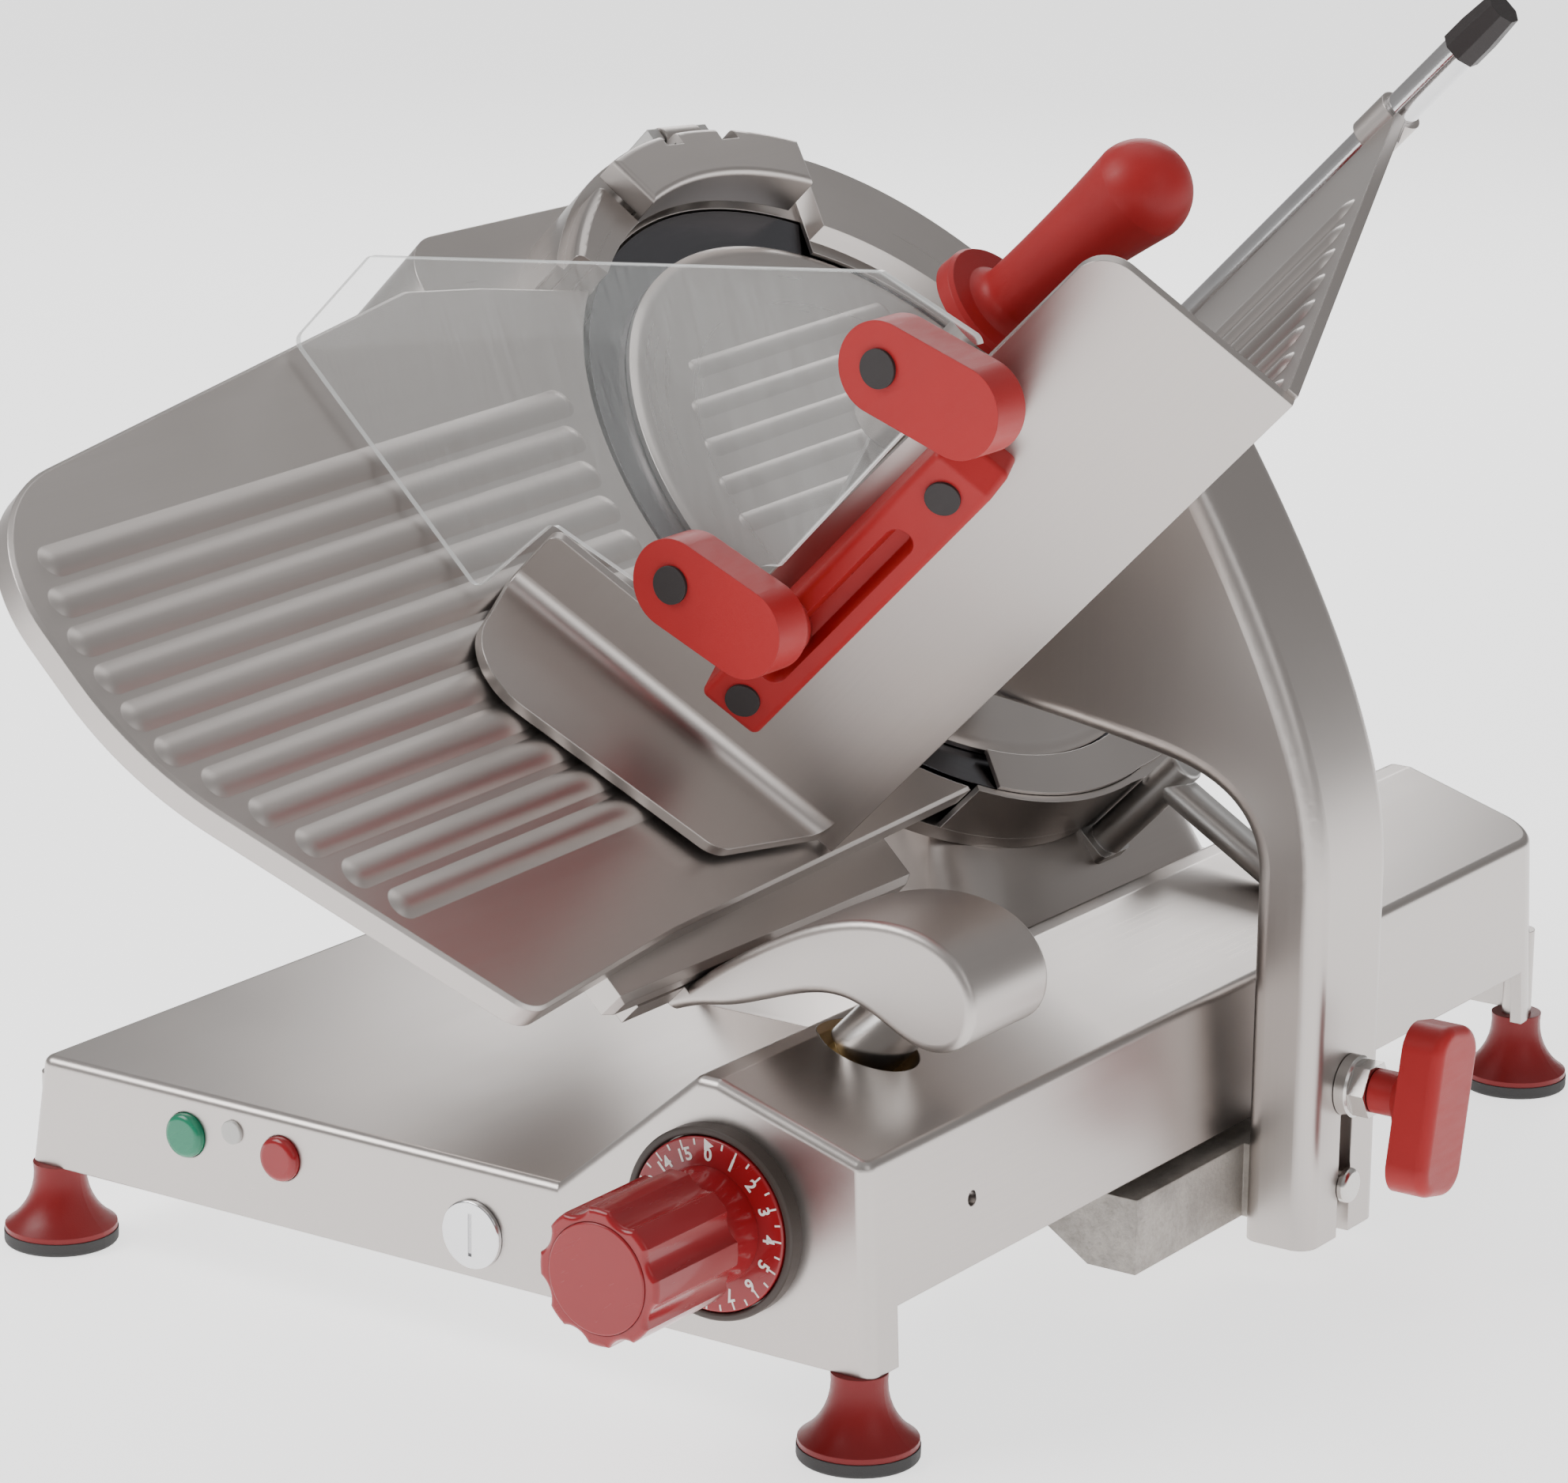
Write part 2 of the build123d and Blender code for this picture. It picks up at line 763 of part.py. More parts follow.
def housing_outline(inset):
    """Plan of the drive housing: a rounded box round the motor, joined to the hub's round end."""
    with BuildSketch(Plane.XY) as plan:
        with Locations((motor_u - 8, motor_v + 8)):
            RectangleRounded(146 - 2 * inset, 196 - 2 * inset, 30 - inset)
        Circle(56 - inset)
        make_hull()
    return plan.sketch


with BuildPart() as drive_housing:
    with BuildSketch(slope(-96)):
        add(housing_outline(0))
    extrude(amount=96 + frame_back)
    with BuildSketch(slope(-202)):
        with Locations((motor_u - 8, motor_v + 8)):
            RectangleRounded(146, 196, 30)
    extrude(amount=202 - 96)
    fillet(drive_housing.edges().group_by(Axis(blade_centre, normal))[0], radius=8)
    with BuildSketch(slope(-92)):
        add(housing_outline(4))
    extrude(amount=92 + frame_back - 4, mode=Mode.SUBTRACT)
    with BuildSketch(slope(-198)):
        with Locations((motor_u - 8, motor_v + 8)):
            RectangleRounded(138, 188, 26)
    extrude(amount=198 - 92, mode=Mode.SUBTRACT)
    with BuildSketch(slope(-98)):
        Circle(37)
    extrude(amount=98 + frame_back + 0.1, mode=Mode.SUBTRACT)
drive_housing.part.label = "drive_housing"
export_step(drive_housing.part, "parts/drive_housing.step")

# ---------------------------------------------------------------- sharpener
hood_start = 155.0
hood_end = 196.0
hood_inner = 173.0
hood_outer = 200.0
hood_low = 13.0
hood_high = 26.0
stone_angles = {"grinding": 184.0, "honing": 169.0}
stone_radius = 5.5
stone_place = 184.0

hinge_angle = 175.5
hinge_radius = 204.0
hinge_w = 15.0


def hinge_spot(out, along):
    """Point of the blade's plane, out from the hood's hinge line and along it."""
    base = polar(hinge_radius + out, hinge_angle)
    step = polar(along, hinge_angle + 90)
    return (base[0] + step[0], base[1] + step[1])


def hinge_plane(along):
    """Plane across the hood's hinge line."""
    u, v = hinge_spot(0, along)
    line = polar(1, hinge_angle + 90)
    return Plane(
        blade_centre + down * u + back * v + normal * hinge_w,
        x_dir=normal,
        z_dir=down * line[0] + back * line[1],
    )


with BuildPart() as sharpener_hood:
    with BuildSketch(slope(hood_low)):
        Circle(hood_outer)
        Circle(hood_inner, mode=Mode.SUBTRACT)
        with BuildLine():
            Polyline(*sector(hood_start, hood_end), close=True)
        make_face(mode=Mode.INTERSECT)
    extrude(amount=hood_high - hood_low)
    fillet(sharpener_hood.edges().group_by(Axis(blade_centre, normal))[-1], radius=3)
    with BuildSketch(slope(hood_low)):
        Circle(hood_outer - 4)
        Circle(hood_inner + 3, mode=Mode.SUBTRACT)
        with BuildLine():
            Polyline(*sector(hood_start + 1.2, hood_end - 1.2), close=True)
        make_face(mode=Mode.INTERSECT)
    extrude(amount=hood_high - hood_low - 4, mode=Mode.SUBTRACT)
    # Skirt on the blade's side, which hides the stones.
    with BuildSketch(slope(4)):
        Circle(hood_inner + 3)
        Circle(hood_inner, mode=Mode.SUBTRACT)
        with BuildLine():
            Polyline(*sector(hood_start, hood_end), close=True)
        make_face(mode=Mode.INTERSECT)
    extrude(amount=hood_low - 4)
    # Room for the two hinge posts, then the hinge barrel between them.
    with BuildSketch(slope(hood_low - 4)):
        with Locations(hinge_spot(-5, 21), hinge_spot(-5, -21)):
            Rectangle(14, 13, rotation=hinge_angle)
    extrude(amount=hood_high - hood_low + 6, mode=Mode.SUBTRACT)
    with BuildSketch(hinge_plane(-13)):
        Circle(5)
    extrude(amount=26)
    with BuildSketch(hinge_plane(-13)):
        Circle(2.5 + running)
    extrude(amount=26, mode=Mode.SUBTRACT)
sharpener_hood.part.label = "sharpener_hood"
export_step(sharpener_hood.part, "parts/sharpener_hood.step")

with BuildPart() as sharpener_arm:
    with BuildSketch(slope(9)):
        Circle(192)
        Circle(178, mode=Mode.SUBTRACT)
        with BuildLine():
            Polyline(*sector(164, 190), close=True)
        make_face(mode=Mode.INTERSECT)
        for angle in stone_angles.values():
            with Locations(polar(stone_place, angle)):
                Circle(7)
        with Locations(hinge_spot(-9, 18), hinge_spot(-9, -18)):
            Rectangle(18, 8, rotation=hinge_angle)
    extrude(amount=3)
    with BuildSketch(slope(ring_top)):
        with Locations(polar(187, 188.3), polar(184, 176.5)):
            Circle(4)
    extrude(amount=9 - ring_top)
    with BuildSketch(slope(9)):
        for angle in stone_angles.values():
            with Locations(polar(stone_place, angle)):
                Circle(3 + running)
    extrude(amount=3, mode=Mode.SUBTRACT)
    # Hinge pin and its two posts.
    with BuildSketch(slope(ring_top)):
        with Locations(hinge_spot(0, 18), hinge_spot(0, -18)):
            Rectangle(7, 8, rotation=hinge_angle)
    extrude(amount=hinge_w + 3 - ring_top)
    with BuildSketch(hinge_plane(-18)):
        Circle(2.5)
    extrude(amount=36)
sharpener_arm.part.label = "sharpener_arm"
export_step(sharpener_arm.part, "parts/sharpener_arm.step")

for name, angle in stone_angles.items():
    with BuildPart() as stone:
        with BuildSketch(slope(3.5)):
            with Locations(polar(stone_place, angle)):
                Circle(stone_radius if name == "grinding" else stone_radius - 1)
        extrude(amount=4)
        with BuildSketch(slope(7.5)):
            with Locations(polar(stone_place, angle)):
                Circle(3)
        extrude(amount=5)
    stone.part.label = name + "_stone"
    export_step(stone.part, "parts/" + name + "_stone.step")

# ---------------------------------------------------------------- gauge plate
plate_low = -12.0
rib_pitch = 18.6
rib_count = 11


def plate_outline():
    """Outline of the gauge plate, concave round the blade."""
    with BuildSketch(Plane.XY) as plan:
        with BuildLine():
            Polyline(
                polar(gauge_gap_radius, 214.2),
                (-158, -166),
                (-165, -214),
                (-115, -542),
                (10, -542),
                (166, -436),
                (156, -330),
                polar(gauge_gap_radius, -32),
                (0, 0),
                close=True,
            )
        make_face()
        Circle(gauge_gap_radius, mode=Mode.SUBTRACT)
        for spot, radius in (((-165, -214), 14), ((-115, -542), 70), ((10, -542), 130), ((166, -436), 16)):
            fillet(plan.vertices().sort_by_distance((spot[0], spot[1], 0))[0], radius=radius)
    return plan.sketch


gauge_ribs = []
for i in range(rib_count):
    u = -87 + rib_pitch * i
    start_v = -527 + max(0, u) * 0.66 + max(0, -60 - u) * 0.5
    end_v = min(-sqrt((gauge_gap_radius + 8) ** 2 - u * u), -118) - 12
    lean = (end_v - start_v) * 0.0122
    gauge_ribs.append(ripple(slope(0), (u + lean, start_v), (u - lean, end_v), 15, 2))

with BuildPart() as gauge_plate:
    with BuildSketch(slope(plate_low)):
        add(plate_outline())
    extrude(amount=-plate_low)
    rim_edges = gauge_plate.edges().filter_by(
        lambda e: (e.center() - blade_centre).dot(normal) > -0.1
        and e.length > 12 and e.center().Y < blade_centre.Y - 175
    )
    chamfer(rim_edges, length=1.6)
    with BuildSketch(slope(plate_low)):
        add(plate_outline())
        offset(amount=-6)
    extrude(amount=-plate_low - 5, mode=Mode.SUBTRACT)
    add(gauge_ribs)
gauge_plate.part.label = "gauge_plate"
export_step(gauge_plate.part, "parts/gauge_plate.step")

bracket_low = -26.0
bolt_u = 158.0
bolt_v = -330.0
with BuildPart() as gauge_bracket:
    with BuildSketch(slope(bracket_low)):
        with Locations((146, -262)):
            Rectangle(52, 216)
    extrude(amount=plate_low - bracket_low)
    chamfer(gauge_bracket.edges().group_by(Axis(blade_centre, down))[-1], length=3)
    with BuildSketch(slope(plate_low)):
        with Locations((131, -262)):
            Rectangle(18, 200)
    extrude(amount=-plate_low - 5)
    with BuildSketch(slope(bracket_low)):
        with Locations((bolt_u, bolt_v)):
            Circle(5)
    extrude(amount=10, mode=Mode.SUBTRACT)
gauge_bracket.part.label = "gauge_bracket"
export_step(gauge_bracket.part, "parts/gauge_bracket.step")

arm_front_v = -314.0
arm_back_v = -254.0
foot_low = -38.0
with BuildPart() as gauge_arm:
    with BuildSketch(fence(arm_front_v)):
        with BuildLine():
            swan = Spline(
                (172.3, bracket_low),
                (180, 14),
                (193, 50),
                (215, 79),
                (241, 91),
                (261, 85),
                (269, 68),
                (261, 53),
                (241, 44),
                (221, 35),
                (203, 10),
                (190, -15),
                (176, foot_low),
                tangents=((0.1, 1), (-0.4, -0.9)),
            )
            Polyline(swan @ 1, (140, foot_low), (140, bracket_low), swan @ 0)
        make_face()
    extrude(amount=arm_front_v - arm_back_v)
    swan_edges = gauge_arm.edges().filter_by(lambda e: e.length > 150)
    fillet(swan_edges, radius=4)
    with BuildSketch(slope(foot_low)):
        with Locations((156, -330)):
            Rectangle(32, 34)
    extrude(amount=bracket_low - foot_low)
    with BuildSketch(slope(foot_low)):
        with Locations((bolt_u, bolt_v)):
            Circle(5)
    extrude(amount=30, mode=Mode.SUBTRACT)
    with BuildSketch(slope(20)):
        with Locations((gauge_shaft_u, gauge_shaft_v)):
            Circle(15)
    extrude(amount=48, mode=Mode.SUBTRACT)
gauge_arm.part.label = "gauge_arm"
export_step(gauge_arm.part, "parts/gauge_arm.step")

with BuildPart() as gauge_bolt:
    with BuildSketch(slope(foot_low - 7)):
        with Locations((bolt_u, bolt_v)):
            RegularPolygon(9.8, 6)
    extrude(amount=7)
    with BuildSketch(slope(foot_low)):
        with Locations((bolt_u, bolt_v)):
            Circle(5)
    extrude(amount=21)
gauge_bolt.part.label = "gauge_bolt"
export_step(gauge_bolt.part, "parts/gauge_bolt.step")

with BuildPart() as gauge_shaft:
    with BuildSketch(slope(-95)):
        with Locations((gauge_shaft_u, gauge_shaft_v)):
            Circle(15)
    extrude(amount=95 + 68)
gauge_shaft.part.label = "gauge_shaft"
export_step(gauge_shaft.part, "parts/gauge_shaft.step")

with BuildPart() as gauge_shaft_bush:
    with BuildSketch(slope(-33)):
        with Locations((gauge_shaft_u, gauge_shaft_v)):
            Circle(20)
            Circle(15 + running, mode=Mode.SUBTRACT)
    extrude(amount=40)
    add(base_skin.part, mode=Mode.INTERSECT)
gauge_shaft_bush.part.label = "gauge_shaft_bush"
export_step(gauge_shaft_bush.part, "parts/gauge_shaft_bush.step")

with BuildPart() as gauge_follower:
    with BuildSketch(slope(-88)):
        with Locations((gauge_shaft_u, gauge_shaft_v)):
            Circle(21)
        with Locations((gauge_shaft_u, gauge_shaft_v - 24)):
            Rectangle(14, 20)
        with Locations((gauge_shaft_u, gauge_shaft_v)):
            Circle(15, mode=Mode.SUBTRACT)
    extrude(amount=14)
gauge_follower.part.label = "gauge_follower"
export_step(gauge_follower.part, "parts/gauge_follower.step")

# ---------------------------------------------------------------- carriage
block_front_y = -97.0
block_back_y = 48.0
bush_radius = 19.0

with BuildPart() as guide_bar:
    with BuildSketch(front(-290)):
        with Locations((bar_x, bar_z)):
            Circle(bar_radius)
    extrude(amount=-580)
guide_bar.part.label = "guide_bar"
export_step(guide_bar.part, "parts/guide_bar.step")

with BuildPart() as slide_block:
    with BuildSketch(front(block_front_y)):
        with BuildLine():
            Polyline(
                (156, 50),
                (156, 96),
                (204, 96),
                (204, 56),
                (228, 56),
                (228, 22),
                (204, 22),
                (176, 40),
                close=True,
            )
        make_face()
    extrude(amount=block_front_y - block_back_y)
    fillet(slide_block.edges().filter_by(Axis.Y).group_by(Axis.Z)[-1], radius=6)
    with BuildSketch(front(lock_y - 25)):
        with BuildLine():
            Polyline((228, 22), (256, 22), (256, 120), (238, 120), (238, 56), (228, 56), close=True)
        make_face()
    extrude(amount=-50)
    with BuildSketch(front(block_front_y)):
        with Locations((bar_x, bar_z)):
            Circle(bush_radius)
    extrude(amount=block_front_y - block_back_y, mode=Mode.SUBTRACT)
    with BuildSketch(side(256)):
        with Locations((lock_y, lock_z)):
            Circle(5)
        with Locations((lock_y + 1, 37)):
            Circle(3.5)
    extrude(amount=-14, mode=Mode.SUBTRACT)
slide_block.part.label = "slide_block"
export_step(slide_block.part, "parts/slide_block.step")

bush_length = 45.0
with BuildPart() as slide_bushes:
    for y in (block_front_y, block_back_y - bush_length):
        with BuildSketch(front(y)):
            with Locations((bar_x, bar_z)):
                Circle(bush_radius)
                Circle(bar_radius + running, mode=Mode.SUBTRACT)
        extrude(amount=-bush_length)
slide_bushes.part.label = "slide_bushes"
export_step(slide_bushes.part, "parts/slide_bushes.step")

knob_x = column_outer_x + gap + 14 + gap
with BuildPart() as lock_stud:
    with BuildSketch(side(column_outer_x + gap)):
        with Locations((lock_y, lock_z)):
            Circle(14)
    extrude(amount=6)
    chamfer(lock_stud.edges().group_by(Axis.X)[-1], length=1)
    with BuildSketch(side(column_outer_x + gap + 6)):
        with Locations((lock_y, lock_z)):
            RegularPolygon(13, 6)
    extrude(amount=8)
    with BuildSketch(side(244)):
        with Locations((lock_y, lock_z)):
            Circle(5)
    extrude(amount=knob_x + 4 - 244)
lock_stud.part.label = "lock_stud"
export_step(lock_stud.part, "parts/lock_stud.step")

with BuildPart() as guide_pin:
    with BuildSketch(side(244)):
        with Locations((lock_y + 1, 37)):
            Circle(3.5)
    extrude(amount=column_outer_x + gap - 244)
    with BuildSketch(side(column_outer_x + gap)):
        with Locations((lock_y + 1, 37)):
            Circle(8)
    extrude(amount=4)
    fillet(guide_pin.edges().group_by(Axis.X)[-1], radius=2.5)
guide_pin.part.label = "guide_pin"
export_step(guide_pin.part, "parts/guide_pin.step")

with BuildPart() as lock_knob:
    with BuildSketch(side(knob_x)):
        with Locations((lock_y, lock_z)):
            Circle(10)
            Circle(5 + running, mode=Mode.SUBTRACT)
    extrude(amount=12)
    with BuildSketch(side(knob_x + 12)):
        with Locations((lock_y, lock_z)):
            Circle(11)
    with BuildSketch(side(knob_x + 18)):
        with Locations((lock_y, lock_z - 3)):
            RectangleRounded(50, 30, 13, rotation=78)
    loft()
    with BuildSketch(side(knob_x + 18)):
        with Locations((lock_y, lock_z - 3)):
            RectangleRounded(76, 38, 13, rotation=78)
    extrude(amount=19)
    fillet(lock_knob.edges().group_by(Axis.X)[-1], radius=5)
lock_knob.part.label = "lock_knob"
export_step(lock_knob.part, "parts/lock_knob.step")

column_bottom = 14.0
column_width = column_back_y - column_front_y
with BuildPart() as carriage_arm:
    with BuildSketch(front(column_front_y)):
        with BuildLine():
            outer_low = Line((column_outer_x, column_bottom), (column_outer_x, 176))
            outer = Spline(
                outer_low @ 1,
                (255, 234),
                (237, 279),
                (211, 328),
                (186, 368),
                tangents=((0, 1), (-0.55, 0.83)),
            )
            Polyline(outer @ 1, (150, 425), (0, 290), (46, 263), (83, 240))
            inner = Spline(
                (83, 240),
                (171, 228),
                (207, 218),
                (column_inner_x, 180),
                tangents=((1, -0.1), (0, -1)),
            )
            Line(inner @ 1, (column_inner_x, column_bottom))
            Line((column_inner_x, column_bottom), outer_low @ 0)
        make_face()
    extrude(amount=-column_width)
    rims = carriage_arm.edges().filter_by(
        lambda e: e.length > 60 and abs(e.tangent_at(0.5).Y) < 0.1 and e.center().Z > 60
        and e.center().X - base_x > 120 and e.center().Z < 350
    )
    fillet(rims, radius=9)
    with BuildSketch(tray_cross(-60)):
        with Locations((140, 150)):
            Rectangle(400, 300)
    extrude(amount=480, mode=Mode.SUBTRACT)
    # Pocket for the slide block's tongue, and the way into it.
    with BuildSketch(level(column_bottom)):
        with Locations((247, lock_y)):
            Rectangle(18 + 2 * gap, 50 + 2 * gap)
        with Locations((234, lock_y)):
            Rectangle(20, 50 + 2 * gap)
    extrude(amount=56.5 - column_bottom, mode=Mode.SUBTRACT)
    with BuildSketch(level(56)):
        with Locations((247, lock_y)):
            Rectangle(18 + 2 * gap, 50 + 2 * gap)
    extrude(amount=64.6, mode=Mode.SUBTRACT)
    # Slot for the lock screw and guide pin, open at the bottom.
    with BuildSketch(side(column_outer_x)):
        with Locations((lock_y, lock_z)):
            Circle(5.4)
        with Locations((lock_y, lock_z / 2)):
            Rectangle(10.8, lock_z)
        with Locations((lock_y + 1, 37)):
            Circle(6)
    extrude(amount=-12, mode=Mode.SUBTRACT)
carriage_arm.part.label = "carriage_arm"
export_step(carriage_arm.part, "parts/carriage_arm.step")

# ---------------------------------------------------------------- feed tray
with BuildPart() as tray_wall:
    with BuildSketch(tray_side(-tray_sheet)):
        with BuildLine():
            Polyline(
                (0, 0),
                (wall_length, 0),
                (wall_length, wall_height),
                (ear_width + 6, wall_height + 4),
                (ear_width, wall_height + 14),
                (ear_width, ear_height),
                (0, ear_height),
                close=True,
            )
        make_face()
    extrude(amount=tray_sheet)
    fillet(tray_wall.edges().filter_by(lambda e: abs(e.tangent_at(0.5).dot(depth)) > 0.99)
           .sort_by(Axis(tray_origin, normal))[-2:].sort_by(Axis(tray_origin, rise))[-1], radius=16)
    fillet(tray_wall.edges().filter_by(lambda e: abs(e.tangent_at(0.5).dot(depth)) > 0.99)
           .sort_by(Axis(tray_origin, rise))[-1], radius=5)
    with BuildSketch(slope(tray_w)):
        with BuildLine():
            flange_points = [(181, 0), (181, 66), (46, 57), (8, 0)]
            Polyline(
                *[
                    (
                        tray_u - h * cos(radians(tray_turn)) + out * sin(radians(tray_turn)),
                        tray_v - h * sin(radians(tray_turn)) - out * cos(radians(tray_turn)),
                    )
                    for h, out in flange_points
                ],
                close=True,
            )
        make_face()
    extrude(amount=tray_sheet)
    flange_corners = tray_wall.edges().filter_by(
        lambda e: abs(e.tangent_at(0.5).dot(normal)) > 0.99 and (e.center() - tray_origin).dot(depth) < -50
    ).sort_by(Axis(tray_origin, rise))
    fillet(flange_corners[-1], radius=30)
    fillet(flange_corners[0], radius=16)
    bend = tray_wall.edges().filter_by(
        lambda e: abs(e.tangent_at(0.5).dot(rise)) > 0.99 and e.length > 100
        and abs((e.center() - tray_origin).dot(depth)) < 0.1
        and abs((e.center() - tray_origin).dot(normal) - tray_sheet) < 0.1
    )
    fillet(bend, radius=8)
tray_wall.part.label = "tray_wall"
export_step(tray_wall.part, "parts/tray_wall.step")

table_side = Plane(tray_origin + rise * tray_sheet, x_dir=normal, z_dir=rise)
table_ribs = [
    ripple(table_side, (16, 22 + 23 * i), (wall_length - 14, 22 + 23 * i), 15, 2.2) for i in range(8)
]

with BuildPart() as tray_table:
    with BuildSketch(tray_cross(0)):
        with Locations(((table_depth + tray_sheet) / 2, tray_sheet / 2)):
            Rectangle(table_depth - tray_sheet, tray_sheet)
    extrude(amount=wall_length + 2)
    add(table_ribs)
    # Lugs that hold the pusher's rod behind the table.
    for n in (2, wall_length - 22):
        with BuildSketch(tray_cross(n)):
            with Locations((rod_t, rod_h)):
                Circle(10.5)
            with Locations((table_depth - 4, 1)):
                Rectangle(20, 7)
            with Locations((rod_t, rod_h)):
                Circle(rod_radius, mode=Mode.SUBTRACT)
        extrude(amount=20)
tray_table.part.label = "tray_table"
export_step(tray_table.part, "parts/tray_table.step")

# ---------------------------------------------------------------- guard and its handle
bar_low = 63.0
bar_high = 93.0
bar_start = 36.0
bar_end = 210.0
bar_stand = 22.0
ear_spots = [(53, 105), (53, 246)]
root_spots = [(88, 118), (88, 262)]
neck_spots = [(74, 85), (219, 86)]
root_radius = 19.0
ear_front_v = guard_v - 24

with BuildPart() as clear_guard:
    with BuildSketch(fence(guard_v)):
        with BuildLine():
            Polyline(
                (-151, 5),
                (-150, 63),
                (18, 258),
                (70, 277),
                (73, 121),
                (54, 81),
                (-10, 57),
                (-15, 5),
                close=True,
            )
        make_face()
    extrude(amount=-4)
    fillet(clear_guard.edges().filter_by(Axis.Y), radius=5)
    fillet(clear_guard.faces().sort_by(Axis.Y)[0].edges(), radius=1.4)
    with BuildSketch(fence(guard_v)):
        with Locations(*root_spots):
            Circle(root_radius + 4)
    extrude(amount=-4, mode=Mode.SUBTRACT)
clear_guard.part.label = "clear_guard"
export_step(clear_guard.part, "parts/clear_guard.step")

with BuildPart() as guard_handle:
    with BuildSketch(Plane(tray_origin + rise * bar_low, x_dir=normal, z_dir=rise)):
        with BuildLine():
            Polyline(
                (bar_start, 0),
                (bar_start, -bar_stand),
                (bar_end - 10, -bar_stand),
                (bar_end, -bar_stand + 8),
                (bar_end, 0),
                close=True,
            )
        make_face()
    extrude(amount=bar_high - bar_low)
    fillet(guard_handle.edges().filter_by(lambda e: (e.center() - tray_origin).dot(depth) < -1), radius=3.5)
    with BuildSketch(tray_side(bar_stand)):
        with Locations(((bar_start + bar_end) / 2 - 10, (bar_low + bar_high) / 2)):
            SlotOverall(100, 13)
    extrude(amount=-7, taper=25, mode=Mode.SUBTRACT)
    for ear, root, neck in zip(ear_spots, root_spots, neck_spots):
        with BuildSketch(fence(ear_front_v)):
            with Locations(ear, root):
                Circle(root_radius)
            make_hull()
        extrude(amount=-20)
        with BuildSketch(fence(ear_front_v + 19)):
            with Locations(root):
                Circle(root_radius)
        with BuildSketch(tray_side(-1)):
            with Locations(neck):
                Circle(14)
        loft()
    # Everything behind the wall's outer face is cut away.
    with BuildSketch(tray_side(0)):
        with Locations((150, 80)):
            Rectangle(600, 500)
    extrude(amount=-200, mode=Mode.SUBTRACT)
guard_handle.part.label = "guard_handle"
export_step(guard_handle.part, "parts/guard_handle.step")

with BuildPart() as handle_caps:
    with BuildSketch(tray_side(bar_stand)):
        with Locations((48, 78), (187, 78)):
            Circle(7.5)
    extrude(amount=1.6)
    with BuildSketch(fence(ear_front_v)):
        with Locations(*ear_spots):
            Circle(8)
    extrude(amount=1.6)
    # Washers between the ears and the guard.
    with BuildSketch(fence(guard_v)):
        with Locations(*ear_spots):
            Circle(12)
    extrude(amount=4)
handle_caps.part.label = "handle_caps"
export_step(handle_caps.part, "parts/handle_caps.step")

# ---------------------------------------------------------------- meat pusher
rod_end = 360.0
pusher_n = 126.0

with BuildPart() as pusher_rod:
    with BuildSketch(tray_cross(2)):
        with Locations((rod_t, rod_h)):
            Circle(rod_radius)
    extrude(amount=rod_end - 2)
pusher_rod.part.label = "pusher_rod"
export_step(pusher_rod.part, "parts/pusher_rod.step")

with BuildPart() as rod_cap:
    with BuildSketch(tray_cross(rod_end - 12)):
        with Locations((rod_t, rod_h)):
            RegularPolygon(rod_radius + 1.6, 8)
            Circle(rod_radius, mode=Mode.SUBTRACT)
    extrude(amount=12)
    with BuildSketch(tray_cross(rod_end)):
        with Locations((rod_t, rod_h)):
            RegularPolygon(rod_radius + 1.6, 8)
    with BuildSketch(tray_cross(rod_end + 16)):
        with Locations((rod_t, rod_h)):
            RegularPolygon(rod_radius + 0.4, 8)
    loft()
rod_cap.part.label = "rod_cap"
export_step(rod_cap.part, "parts/rod_cap.step")

hub_radius = 11.5
with BuildPart() as pusher_hub:
    with BuildSketch(tray_cross(pusher_n - 20)):
        with Locations((rod_t, rod_h)):
            Circle(hub_radius)
            Circle(rod_radius + running, mode=Mode.SUBTRACT)
    extrude(amount=40)
pusher_hub.part.label = "pusher_hub"
export_step(pusher_hub.part, "parts/pusher_hub.step")

grip_t = 105.0
grip_h = 96.0
grip_n = 194.0
with BuildPart() as pusher_arm:
    with BuildSketch(tray_cross(pusher_n - 9)):
        with BuildLine():
            Polyline(
                (rod_t + 11, rod_h + 5),
                (rod_t + 6, rod_h + 17),
                (rod_t - 6, rod_h + 22),
                (170, 37),
                (grip_t + 14, grip_h - 6),
                (grip_t - 6, grip_h - 2),
                (grip_t + 2, 62),
                (165, 21),
                (rod_t - 20, rod_h + 10),
                (rod_t - 11, rod_h + 4),
                (rod_t, rod_h + 4),
                close=True,
            )
        make_face()
        with Locations((grip_t, grip_h)):
            Circle(15)
        with Locations((rod_t, rod_h)):
            Circle(hub_radius + running, mode=Mode.SUBTRACT)
    extrude(amount=11)
    # Post that carries the grip.
    with BuildSketch(tray_cross(pusher_n)):
        with Locations((grip_t, grip_h)):
            Circle(10)
    extrude(amount=grip_n - pusher_n)
pusher_arm.part.label = "pusher_arm"
export_step(pusher_arm.part, "parts/pusher_arm.step")

with BuildPart() as pusher_plate:
    with BuildSketch(tray_cross(pusher_n - 14)):
        with BuildLine():
            Polyline((14, 12), (150, 12), (150, 40), (110, 98), (14, 98), close=True)
        make_face()
    extrude(amount=5)
    fillet(pusher_plate.edges().filter_by(lambda e: abs(e.tangent_at(0.5).dot(normal)) > 0.99), radius=8)
    spots = [(30 + 22 * i, 30 + 22 * j) for i in range(5) for j in range(3) if 30 + 22 * i + 22 * j < 120]
    for spot in spots:
        with BuildSketch(tray_cross(pusher_n - 14)):
            with Locations(spot):
                Circle(2.2)
        extrude(amount=-7, taper=15)
pusher_plate.part.label = "pusher_plate"
export_step(pusher_plate.part, "parts/pusher_plate.step")

